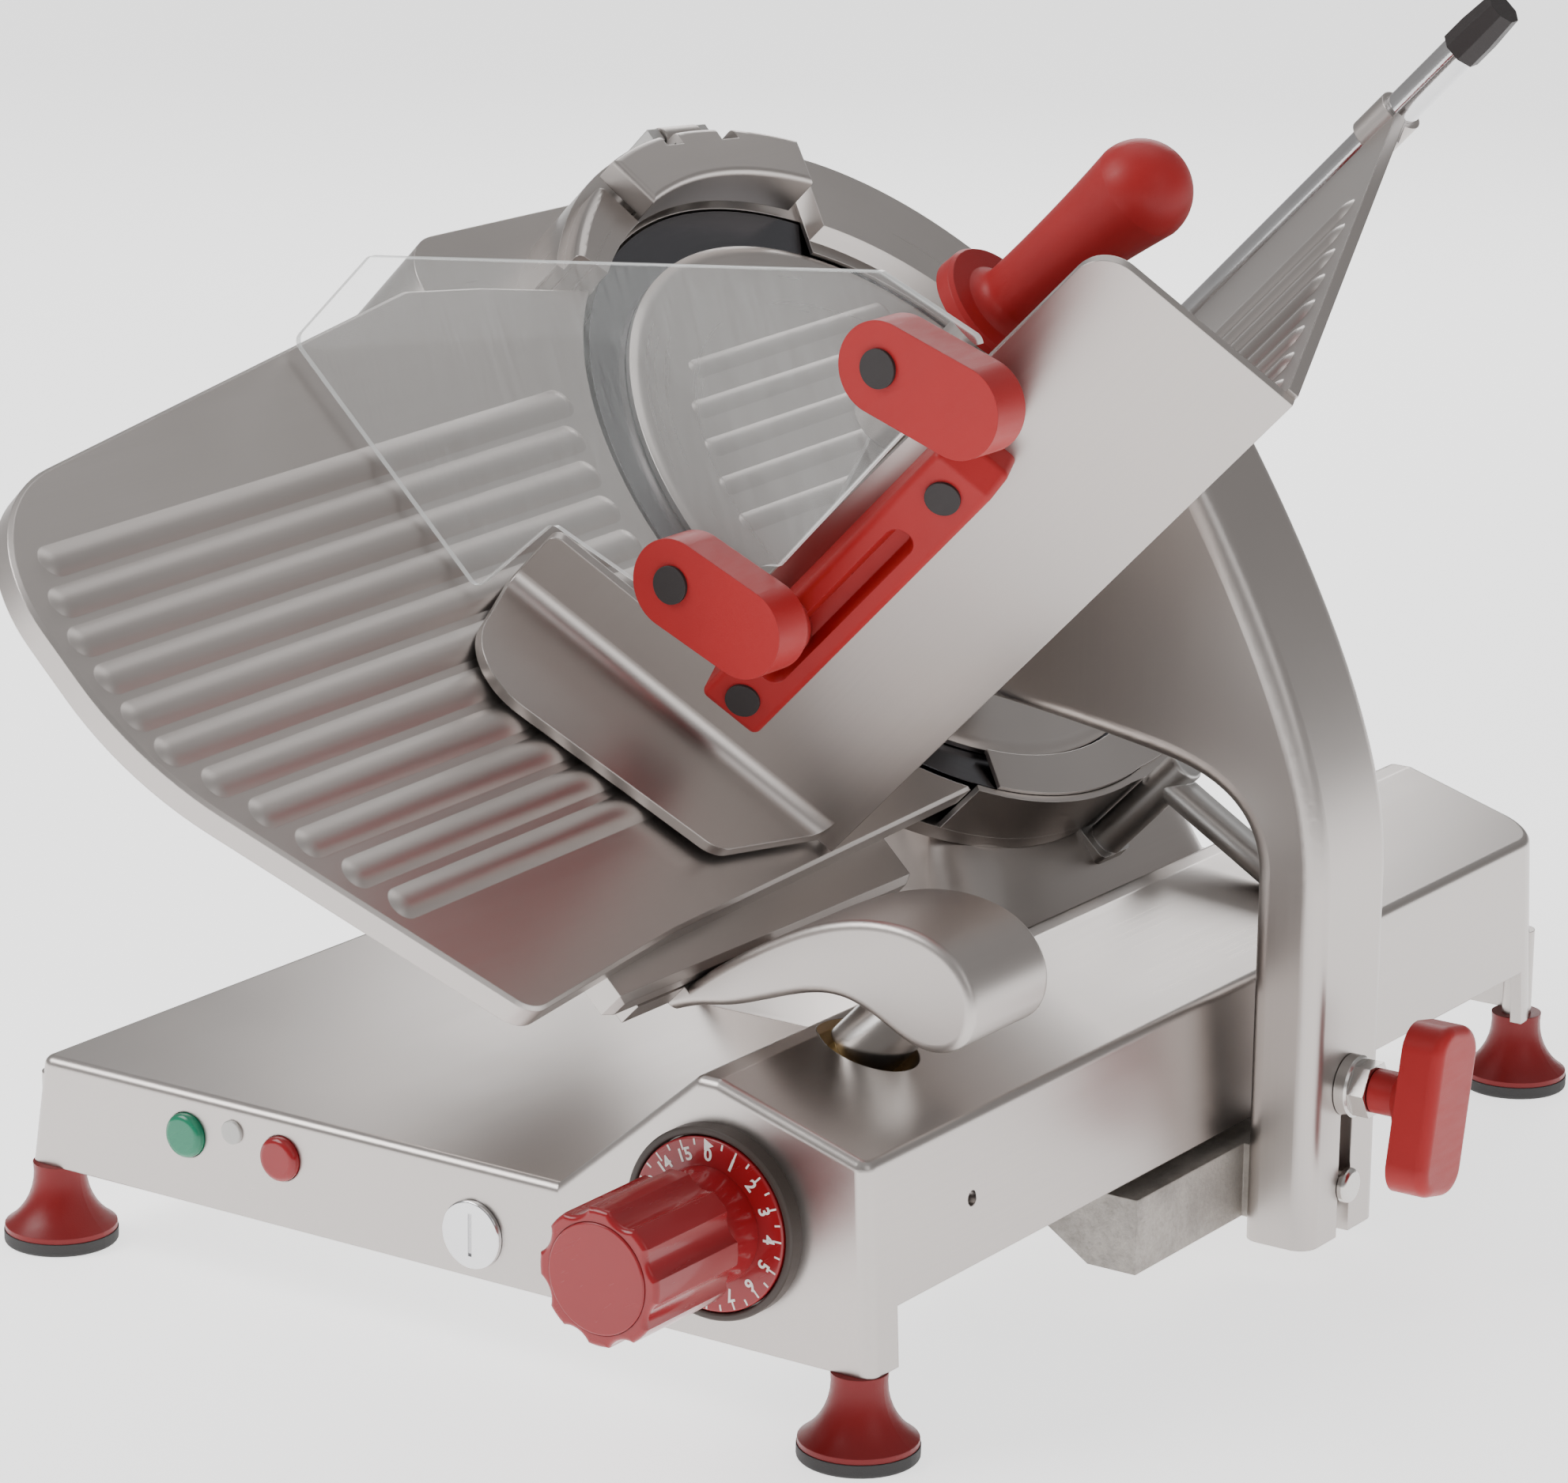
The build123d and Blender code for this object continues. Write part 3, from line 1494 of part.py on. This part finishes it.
grip_tilt = 6.0
grip_axis = normal * cos(radians(grip_tilt)) + down * sin(radians(grip_tilt))
grip_foot = tray_origin + normal * grip_n + depth * grip_t + rise * grip_h
with BuildPart() as pusher_grip:
    with BuildSketch(Plane(grip_foot, x_dir=grip_axis, z_dir=grip_axis.cross(depth))):
        with BuildLine():
            Polyline((-5, 0), (-5, 29), (5, 29), (7, 27.5), (7, 18.5))
            ThreePointArc((7, 18.5), (10, 15.2), (15, 14.2))
            ThreePointArc((15, 14.2), (55, 17.4), (92, 22))
            CenterArc((92, 0), 22, 0, 90)
            Line((114, 0), (-5, 0))
        make_face()
    revolve(axis=Axis(grip_foot, grip_axis))
    with BuildSketch(tray_cross(grip_n - 62)):
        with Locations((grip_t, grip_h)):
            Circle(60)
    extrude(amount=62, mode=Mode.SUBTRACT)
pusher_grip.part.label = "pusher_grip"
export_step(pusher_grip.part, "parts/pusher_grip.step")
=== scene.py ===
"""Looks of the inclined meat slicer: materials, dial markings, studio light and camera.

Metres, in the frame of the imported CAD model: +Z up, the operator on the -Y side.
"""
import json
import math

import bmesh
import bpy
from mathutils import Matrix, Vector


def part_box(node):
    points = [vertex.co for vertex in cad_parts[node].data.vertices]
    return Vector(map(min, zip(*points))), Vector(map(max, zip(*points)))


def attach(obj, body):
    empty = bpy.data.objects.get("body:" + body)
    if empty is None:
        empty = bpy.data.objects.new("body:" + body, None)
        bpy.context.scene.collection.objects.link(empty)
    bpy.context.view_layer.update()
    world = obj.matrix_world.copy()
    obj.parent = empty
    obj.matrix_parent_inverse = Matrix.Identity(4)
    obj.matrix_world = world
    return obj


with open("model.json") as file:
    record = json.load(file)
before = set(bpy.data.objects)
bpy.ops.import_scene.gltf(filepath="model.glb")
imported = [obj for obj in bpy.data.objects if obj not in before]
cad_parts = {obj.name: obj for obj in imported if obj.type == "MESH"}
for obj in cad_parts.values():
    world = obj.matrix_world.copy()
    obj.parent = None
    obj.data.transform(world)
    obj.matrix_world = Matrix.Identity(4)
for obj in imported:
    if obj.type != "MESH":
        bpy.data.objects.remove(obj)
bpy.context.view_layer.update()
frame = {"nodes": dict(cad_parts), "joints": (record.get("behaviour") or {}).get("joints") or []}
nodes = frame["nodes"]
MM = 0.001

# ---------------------------------------------------------------- places taken from the frame
joint = {j["name"]: j for j in frame["joints"]}
blade_axis = Vector(joint["blade_spin"]["axis"])
blade_centre = Vector(joint["blade_spin"]["pos_m"])
tilt = math.atan2(blade_axis.x, blade_axis.z)
disc_low, disc_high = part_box("dial_disc")
dial_centre = (disc_low + disc_high) / 2
dial_face_y = disc_low.y
pad_low, pad_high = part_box("foot_pads")
feet_centre = (pad_low + pad_high) / 2


# ---------------------------------------------------------------- node helpers
class Shader:
    """A material's node tree with short ways to add and link nodes."""

    def __init__(self, name, colour, metallic, roughness):
        self.material = bpy.data.materials.new(name)
        self.material.use_nodes = True
        self.tree = self.material.node_tree
        self.bsdf = self.tree.nodes["Principled BSDF"]
        self.bsdf.inputs["Base Color"].default_value = (*colour, 1)
        self.bsdf.inputs["Metallic"].default_value = metallic
        self.bsdf.inputs["Roughness"].default_value = roughness

    def add(self, kind, **settings):
        node = self.tree.nodes.new(kind)
        for key, value in settings.items():
            setattr(node, key, value)
        return node

    def link(self, source, target):
        self.tree.links.new(source, target)

    def place(self, turn=(0, 0, 0), scale=(1, 1, 1), origin=(0, 0, 0)):
        """Object coordinates, moved to origin, turned, then scaled."""
        coords = self.add("ShaderNodeTexCoord")
        shift = self.add("ShaderNodeVectorMath", operation="SUBTRACT")
        shift.inputs[1].default_value = origin
        rotate = self.add("ShaderNodeMapping")
        rotate.inputs["Rotation"].default_value = turn
        stretch = self.add("ShaderNodeMapping")
        stretch.inputs["Scale"].default_value = scale
        self.link(coords.outputs["Object"], shift.inputs[0])
        self.link(shift.outputs[0], rotate.inputs["Vector"])
        self.link(rotate.outputs[0], stretch.inputs["Vector"])
        return stretch.outputs[0]

    def noise(self, vector, scale, detail=4, roughness=0.55):
        node = self.add("ShaderNodeTexNoise")
        node.inputs["Scale"].default_value = scale
        node.inputs["Detail"].default_value = detail
        node.inputs["Roughness"].default_value = roughness
        self.link(vector, node.inputs["Vector"])
        return node.outputs["Fac"]

    def span(self, value, low, high, start=0.3, end=0.7):
        """The value remapped from start..end to low..high."""
        node = self.add("ShaderNodeMapRange")
        node.inputs["From Min"].default_value = start
        node.inputs["From Max"].default_value = end
        node.inputs["To Min"].default_value = low
        node.inputs["To Max"].default_value = high
        self.link(value, node.inputs["Value"])
        return node.outputs["Result"]

    def math(self, operation, first, second):
        node = self.add("ShaderNodeMath", operation=operation)
        for socket, value in zip(node.inputs, (first, second)):
            if isinstance(value, (int, float)):
                socket.default_value = value
            else:
                self.link(value, socket)
        return node.outputs[0]

    def tint(self, factor, first, second):
        """Colour between first and second by factor; each is a colour or a socket."""
        node = self.add("ShaderNodeMix", data_type="RGBA")
        for slot, colour in (("A", first), ("B", second)):
            if isinstance(colour, tuple):
                node.inputs[slot].default_value = (*colour, 1)
            else:
                self.link(colour, node.inputs[slot])
        self.link(factor, node.inputs["Factor"])
        return node.outputs["Result"]

    def soften(self, radius):
        """Normal rounded over the edges by radius."""
        node = self.add("ShaderNodeBevel", samples=4)
        node.inputs["Radius"].default_value = radius
        return node.outputs[0]

    def bump(self, height, distance, normal):
        """Normal raised by height times distance."""
        node = self.add("ShaderNodeBump")
        node.inputs["Strength"].default_value = 1.0
        node.inputs["Distance"].default_value = distance
        self.link(height, node.inputs["Height"])
        self.link(normal, node.inputs["Normal"])
        return node.outputs[0]

    def edge(self, normal):
        """How far a rounded normal leans from the true one: 0 on flats, towards 1 on edges."""
        geometry = self.add("ShaderNodeNewGeometry")
        dot = self.add("ShaderNodeVectorMath", operation="DOT_PRODUCT")
        self.link(geometry.outputs["Normal"], dot.inputs[0])
        self.link(normal, dot.inputs[1])
        return self.span(dot.outputs["Value"], 1, 0, 0.8, 0.995)

    def out(self, socket, name):
        self.link(socket, self.bsdf.inputs[name])


def shade(colour, gain):
    return tuple(min(1.0, c * gain) for c in colour)


# ---------------------------------------------------------------- materials
SLOPE_TURN = (0, -tilt, 0)

# How deep each surface's texture goes.
STREAK_DEPTH = 0.005 * MM
RING_DEPTH = 0.004 * MM
LINE_DEPTH = 0.02 * MM
SPARK_DEPTH = 0.06 * MM
PORE_DEPTH = 0.1 * MM
SAND_DEPTH = 0.35 * MM


def brushed(name, colour, roughness, turn, streak, grain=1.0, edge_radius=0.8 * MM):
    """Satin metal with fine streaks, a soft cloudy tone and rubbed edges."""
    s = Shader(name, colour, 1.0, roughness)
    streaks = s.noise(s.place(turn, streak), 1, 5, 0.6)
    cloud = s.noise(s.place(turn), 7, 3, 0.5)
    rounded = s.soften(edge_radius)
    worn = s.edge(rounded)
    tone = s.tint(s.span(cloud, 0, 1), shade(colour, 0.965), shade(colour, 1.03))
    lined = s.tint(s.span(streaks, 0, 1), shade(colour, 0.98), tone)
    s.out(lined, "Base Color")
    rough = s.math("ADD", s.span(streaks, -0.015, 0.015), s.span(cloud, roughness - 0.02, roughness + 0.03))
    s.out(s.math("SUBTRACT", rough, s.math("MULTIPLY", worn, 0.12)), "Roughness")
    s.out(s.bump(streaks, STREAK_DEPTH * grain, rounded), "Normal")
    return s.material


def turned(name, colour, roughness, edge_radius=0.5 * MM):
    """Ground metal with rings about the blade's axis."""
    s = Shader(name, colour, 1.0, roughness)
    local = s.place(SLOPE_TURN, (1, 1, 0), tuple(blade_centre))
    length = s.add("ShaderNodeVectorMath", operation="LENGTH")
    s.link(local, length.inputs[0])
    line = s.add("ShaderNodeCombineXYZ")
    s.link(length.outputs["Value"], line.inputs[0])
    rings = s.noise(line.outputs[0], 260, 1, 0.5)
    cloud = s.noise(s.place(SLOPE_TURN), 9, 3, 0.5)
    s.out(s.tint(s.span(cloud, 0, 1), shade(colour, 0.94), shade(colour, 1.05)), "Base Color")
    rough = s.math("ADD", s.span(rings, -0.03, 0.03), s.span(cloud, roughness - 0.02, roughness + 0.03))
    s.out(rough, "Roughness")
    s.out(s.bump(rings, RING_DEPTH, s.soften(edge_radius)), "Normal")
    return s.material


def polished(name, colour, roughness=0.08):
    """Chromed or ground bright steel with faint lines and finger haze."""
    s = Shader(name, colour, 1.0, roughness)
    haze = s.noise(s.place(), 25, 4, 0.6)
    lines = s.noise(s.place((0, 0, 0), (900, 900, 900)), 1, 2, 0.5)
    s.out(s.span(haze, roughness, roughness + 0.1), "Roughness")
    s.out(s.tint(s.span(haze, 0, 1), shade(colour, 0.94), colour), "Base Color")
    s.out(s.bump(lines, LINE_DEPTH, s.soften(0.4 * MM)), "Normal")
    return s.material


def plastic(name, colour, roughness, grain=1.0, coat=0.0, edge_radius=0.6 * MM):
    """Moulded plastic: fine spark texture, faint colour drift and slightly rubbed edges."""
    s = Shader(name, colour, 0.0, roughness)
    drift = s.noise(s.place(), 14, 3, 0.5)
    spark = s.noise(s.place(), 1800, 3, 0.6)
    smear = s.noise(s.place((0, 0.6, 0.3), (60, 60, 400)), 1, 4, 0.6)
    rounded = s.soften(edge_radius)
    worn = s.edge(rounded)
    tone = s.tint(s.span(drift, 0, 1), shade(colour, 0.9), shade(colour, 1.06))
    pale = tuple(c + (1 - c) * 0.03 for c in shade(colour, 1.1))
    s.out(s.tint(s.math("MULTIPLY", worn, 0.5), tone, pale), "Base Color")
    rough = s.math("ADD", s.span(smear, -0.04, 0.05), s.span(drift, roughness - 0.03, roughness + 0.03))
    s.out(rough, "Roughness")
    s.bsdf.inputs["Specular IOR Level"].default_value = 0.3
    s.bsdf.inputs["Coat Weight"].default_value = coat
    s.bsdf.inputs["Coat Roughness"].default_value = 0.08
    s.out(s.bump(spark, SPARK_DEPTH * grain, rounded), "Normal")
    return s.material


def rubber(name, colour):
    s = Shader(name, colour, 0.0, 0.75)
    dust = s.noise(s.place(), 60, 5, 0.65)
    pores = s.noise(s.place(), 1500, 3, 0.6)
    s.out(s.tint(s.span(dust, 0, 1), colour, shade(colour, 1.7)), "Base Color")
    s.out(s.span(dust, 0.62, 0.85), "Roughness")
    s.out(s.bump(pores, PORE_DEPTH, s.soften(0.6 * MM)), "Normal")
    return s.material


def rough_cast(name, colour, metallic=0.6):
    """Sand-cast or painted iron, left as it came."""
    s = Shader(name, colour, metallic, 0.6)
    sand = s.noise(s.place(), 420, 5, 0.7)
    patch = s.noise(s.place(), 30, 4, 0.6)
    s.out(s.tint(s.span(patch, 0, 1), shade(colour, 0.7), shade(colour, 1.2)), "Base Color")
    s.out(s.span(sand, 0.45, 0.75), "Roughness")
    s.out(s.bump(sand, SAND_DEPTH, s.soften(1 * MM)), "Normal")
    return s.material


def acrylic(name):
    """Clear cast sheet: see-through faces with a faint haze and hairlines, and a painted highlight on the
    edges, which are made pale and nearly opaque.
    """
    s = Shader(name, (0.90, 0.92, 0.91), 0.0, 0.06)
    hairs = s.noise(s.place((0.2, 0.5, 0.9), (30, 900, 30)), 1, 3, 0.6)
    s.out(s.span(hairs, 0.04, 0.09, 0.5, 0.8), "Roughness")
    geometry = s.add("ShaderNodeNewGeometry")
    split = s.add("ShaderNodeSeparateXYZ")
    s.link(geometry.outputs["True Normal"], split.inputs[0])
    facing = s.math("ABSOLUTE", split.outputs["Y"], 0)
    haze = s.span(hairs, 0.06, 0.10)
    # Painted highlight: faces that do not face along Y, the sheet's edges, get a near-opaque pale colour in
    # place of the rim's highlight.
    s.out(s.math("MAXIMUM", haze, s.span(facing, 0.72, 0.06, 0.5, 0.95)), "Alpha")
    s.bsdf.inputs["Specular IOR Level"].default_value = 1.0
    return s.material


def paint(name, colour):
    """Printed ink, slightly uneven."""
    s = Shader(name, colour, 0.0, 0.5)
    wear = s.noise(s.place(), 900, 3, 0.6)
    s.out(s.tint(s.span(wear, 0, 1), shade(colour, 0.88), colour), "Base Color")
    s.out(s.span(wear, 0.4, 0.6), "Roughness")
    return s.material


ALUMINIUM = (0.50, 0.463, 0.442)
ALONG_X = (3, 500, 500)
ALONG_Y = (500, 3, 500)
ALONG_Z = (500, 500, 3)
RED = (0.36, 0.016, 0.017)

cast_level = brushed("cast_level", ALUMINIUM, 0.30, (0, 0, 0), ALONG_Y)
cast_slope = brushed("cast_slope", ALUMINIUM, 0.37, SLOPE_TURN, ALONG_Y)
cast_upright = brushed("cast_upright", ALUMINIUM, 0.34, (0, 0, 0), ALONG_Z, 1.4)
cast_ring = turned("cast_ring", ALUMINIUM, 0.30)
sheet_feed = brushed("sheet_feed", ALUMINIUM, 0.35, SLOPE_TURN, ALONG_Z)
steel_plain = brushed("steel_plain", (0.5, 0.49, 0.48), 0.35, (0, 0, 0), ALONG_X)
blade_steel = turned("blade_steel", (0.12, 0.12, 0.13), 0.22)
chrome = polished("chrome", (0.75, 0.75, 0.76))
bright_steel = polished("bright_steel", (0.62, 0.60, 0.58), 0.16)
zinc = polished("zinc", (0.42, 0.34, 0.25), 0.24)
bronze = polished("bronze", (0.45, 0.30, 0.12), 0.25)
red_satin = plastic("red_satin", RED, 0.42, 1.0)
red_gloss = plastic("red_gloss", (0.27, 0.010, 0.014), 0.24, 0.3, 0.35)
red_feet = plastic("red_feet", (0.19, 0.009, 0.010), 0.36, 1.0)
brown_black = plastic("brown_black", (0.055, 0.042, 0.036), 0.4, 1.0)
green = plastic("green", (0.008, 0.19, 0.10), 0.25, 0.3, 0.4)
black = plastic("black", (0.03, 0.025, 0.025), 0.45, 1.2)
lens = plastic("lens", (0.5, 0.49, 0.47), 0.12, 0.2, 0.8)
black_rubber = rubber("black_rubber", (0.025, 0.024, 0.024))
iron = rough_cast("iron", (0.16, 0.155, 0.15))
raw_cast = rough_cast("raw_cast", (0.42, 0.39, 0.36), 0.85)
grit = rough_cast("grit", (0.30, 0.27, 0.23), 0.0)
clear = acrylic("clear")
ink = paint("ink", (0.85, 0.83, 0.80))

finish_of = {
    cast_level: ["base_casting", "pedestal", "drive_housing"],
    cast_slope: ["gauge_plate", "gauge_bracket", "gauge_arm", "sharpener_hood"],
    cast_upright: ["carriage_arm", "pusher_arm"],
    cast_ring: ["ring_guard", "ring_cap", "blade_frame", "blade_cover"],
    sheet_feed: ["tray_wall", "tray_table"],
    steel_plain: [
        "bottom_plate", "dial_spindle", "blade_hub", "blade_screws", "driven_pulley", "motor_rotor",
        "sharpener_arm", "gauge_follower", "pusher_hub", "pusher_plate", "ring_stay",
    ],
    blade_steel: ["blade"],
    chrome: ["pusher_rod", "slotted_plug", "blade_bearings", "guide_bar"],
    bright_steel: ["gauge_shaft", "lock_stud", "guide_pin"],
    zinc: ["gauge_bolt"],
    bronze: ["gauge_shaft_bush", "slide_bushes"],
    red_satin: ["guard_handle", "pusher_grip", "lock_knob", "cover_tie_rod"],
    red_gloss: ["dial_disc", "dial_knob", "knob_cap", "off_button"],
    red_feet: ["feet"],
    green: ["on_button"],
    brown_black: ["dial_bezel"],
    black: ["handle_caps", "rod_cap", "cable_gland", "switch_blocks"],
    lens: ["indicator_lamp"],
    black_rubber: ["foot_pads", "drive_belt"],
    iron: ["motor"],
    raw_cast: ["slide_block"],
    grit: ["grinding_stone", "honing_stone"],
    clear: ["clear_guard"],
}
for material, members in finish_of.items():
    for member in members:
        mesh = nodes[member].data
        mesh.materials.clear()
        mesh.materials.append(material)

# ---------------------------------------------------------------- dial markings
MARK_COUNT = 16
TICKS_PER_MARK = 2
MARK_STEP = 2 * math.pi / MARK_COUNT
NUMBER_RADIUS = 29.8 * MM
NUMBER_SIZE = 7.6 * MM
TICK_OUT = 36.2 * MM
MAIN_TICK = 4.2 * MM
SHORT_TICK = 2.6 * MM
TICK_HALF = 0.38 * MM
NUMBER_WEIGHT = 0.18 * MM
INK_THICKNESS = 0.12 * MM


def face_matrix(angle, radius):
    """Place on the dial's face, angle clockwise from the top as the operator sees it."""
    spot = dial_centre + Vector((math.sin(angle), 0, math.cos(angle))) * radius
    spot.y = dial_face_y - INK_THICKNESS
    upright = Matrix.Rotation(math.pi / 2, 4, "X")
    return Matrix.Translation(spot) @ Matrix.Rotation(angle, 4, "Y") @ upright


def add_plate(mesh, outline, matrix):
    """A thin plate with the given outline, in the matrix's XY plane."""
    rings = []
    for height in (0, -INK_THICKNESS):
        rings.append([mesh.verts.new(matrix @ Vector((x, y, height))) for x, y in outline])
    mesh.faces.new(rings[0])
    mesh.faces.new(list(reversed(rings[1])))
    for i in range(len(outline)):
        j = (i + 1) % len(outline)
        mesh.faces.new((rings[0][i], rings[1][i], rings[1][j], rings[0][j]))


marks = bmesh.new()
for i in range(MARK_COUNT * TICKS_PER_MARK):
    length = SHORT_TICK if i % TICKS_PER_MARK else MAIN_TICK
    outline = [(-TICK_HALF, -length), (TICK_HALF, -length), (TICK_HALF, 0), (-TICK_HALF, 0)]
    if i == 0:
        # The zero has a triangle in place of its tick.
        left = -TICK_HALF * 5
        outline = [(left, -length * 1.1), (TICK_HALF * 7, -length * 0.5), (left, length * 0.1)]
    add_plate(marks, outline, face_matrix(i * MARK_STEP / TICKS_PER_MARK, TICK_OUT))
for number in range(MARK_COUNT):
    curve = bpy.data.curves.new("number", "FONT")
    curve.body = str(number)
    curve.size = NUMBER_SIZE
    curve.align_x = "CENTER"
    curve.align_y = "CENTER"
    curve.extrude = INK_THICKNESS / 2
    curve.offset = NUMBER_WEIGHT
    curve.resolution_u = 4
    text = bpy.data.objects.new("number", curve)
    bpy.context.scene.collection.objects.link(text)
    bpy.context.view_layer.update()
    letters = bpy.data.meshes.new_from_object(text.evaluated_get(bpy.context.evaluated_depsgraph_get()))
    letters.transform(face_matrix(number * MARK_STEP, NUMBER_RADIUS))
    marks.from_mesh(letters)
    bpy.data.objects.remove(text)
marks_mesh = bpy.data.meshes.new("dial_marks")
marks.normal_update()
marks.to_mesh(marks_mesh)
marks.free()
marks_mesh.materials.append(ink)
dial_marks = bpy.data.objects.new("dial_marks", marks_mesh)
bpy.context.scene.collection.objects.link(dial_marks)
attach(dial_marks, "dial")

# ---------------------------------------------------------------- floor, light and camera
FLOOR_REACH = 12
floor_mesh = bmesh.new()
for x, y in ((-1, -1), (1, -1), (1, 1), (-1, 1)):
    floor_mesh.verts.new((x * FLOOR_REACH, y * FLOOR_REACH, 0))
floor_mesh.faces.new(floor_mesh.verts)
floor_data = bpy.data.meshes.new("floor")
floor_mesh.to_mesh(floor_data)
floor_mesh.free()
floor = bpy.data.objects.new("floor", floor_data)
bpy.context.scene.collection.objects.link(floor)
floor_look = Shader("floor_look", (0.93, 0.93, 0.93), 0.0, 0.7)
floor_grain = floor_look.noise(floor_look.place(), 40, 4, 0.5)
floor_look.out(floor_look.span(floor_grain, 0.62, 0.78), "Roughness")
floor_look.bsdf.inputs["Emission Color"].default_value = (1, 1, 1, 1)
floor_look.bsdf.inputs["Emission Strength"].default_value = 1.5
floor_data.materials.append(floor_look.material)

world = bpy.data.worlds.new("studio")
bpy.context.scene.world = world
world.use_nodes = True
sky = world.node_tree
background = sky.nodes["Background"]
direction = sky.nodes.new("ShaderNodeTexCoord")
split = sky.nodes.new("ShaderNodeSeparateXYZ")
ramp = sky.nodes.new("ShaderNodeValToRGB")
sky.links.new(direction.outputs["Generated"], split.inputs[0])
sky.links.new(split.outputs["Z"], ramp.inputs["Fac"])
sky.links.new(ramp.outputs["Color"], background.inputs["Color"])
ramp.color_ramp.elements[0].position = 0.0
ramp.color_ramp.elements[0].color = (0.95, 0.94, 0.93, 1)
ramp.color_ramp.elements[1].position = 0.85
ramp.color_ramp.elements[1].color = (1.0, 1.0, 1.0, 1)
middle = ramp.color_ramp.elements.new(0.25)
middle.color = (0.66, 0.64, 0.63, 1)
background.inputs["Strength"].default_value = 0.5


def softbox(name, place, target, width, height, power):
    light = bpy.data.lights.new(name, "AREA")
    light.shape = "RECTANGLE"
    light.size = width
    light.size_y = height
    light.energy = power
    lamp = bpy.data.objects.new(name, light)
    lamp.location = place
    lamp.rotation_mode = "QUATERNION"
    lamp.rotation_quaternion = (Vector(target) - Vector(place)).to_track_quat("-Z", "Y")
    bpy.context.scene.collection.objects.link(lamp)


heart = feet_centre + Vector((0, 0, 0.28))
softbox("key", heart + Vector((-1.8, -1.8, 2.2)), heart, 2.0, 1.6, 70)
softbox("fill", heart + Vector((2.6, -0.6, 1.3)), heart, 1.4, 1.8, 7)
softbox("top", heart + Vector((-0.4, 0.8, 2.6)), heart, 2.2, 1.6, 13)
softbox("rim", heart + Vector((-1.2, 2.4, 1.2)), heart, 1.6, 1.0, 20)

# The photograph's viewpoint: its place from the feet's centre, its heading, dip and roll.
CAMERA_PLACE = Vector((1.353, -2.034, 0.8675))
HEADING = math.radians(34.08)
DIP = math.radians(15.26)
ROLL = math.radians(0.711)
LENS = 127.14
SENSOR_WIDTH = 36

camera_data = bpy.data.cameras.new("camera")
camera_data.lens = LENS
camera_data.sensor_width = SENSOR_WIDTH
camera_data.sensor_fit = "HORIZONTAL"
camera_data.clip_start = 0.05
camera_data.clip_end = 60
camera = bpy.data.objects.new("camera", camera_data)
bpy.context.scene.collection.objects.link(camera)
right = Vector((math.cos(HEADING), math.sin(HEADING), 0))
ahead = Vector((-math.sin(HEADING) * math.cos(DIP), math.cos(HEADING) * math.cos(DIP), -math.sin(DIP)))
above = right.cross(ahead)
side = right * math.cos(ROLL) + above * math.sin(ROLL)
up = above * math.cos(ROLL) - right * math.sin(ROLL)
ground = Vector((feet_centre.x, feet_centre.y, 0))
turn = Matrix((side, up, -ahead)).transposed().to_4x4()
camera.matrix_world = Matrix.Translation(ground + CAMERA_PLACE) @ turn
bpy.context.scene.camera = camera
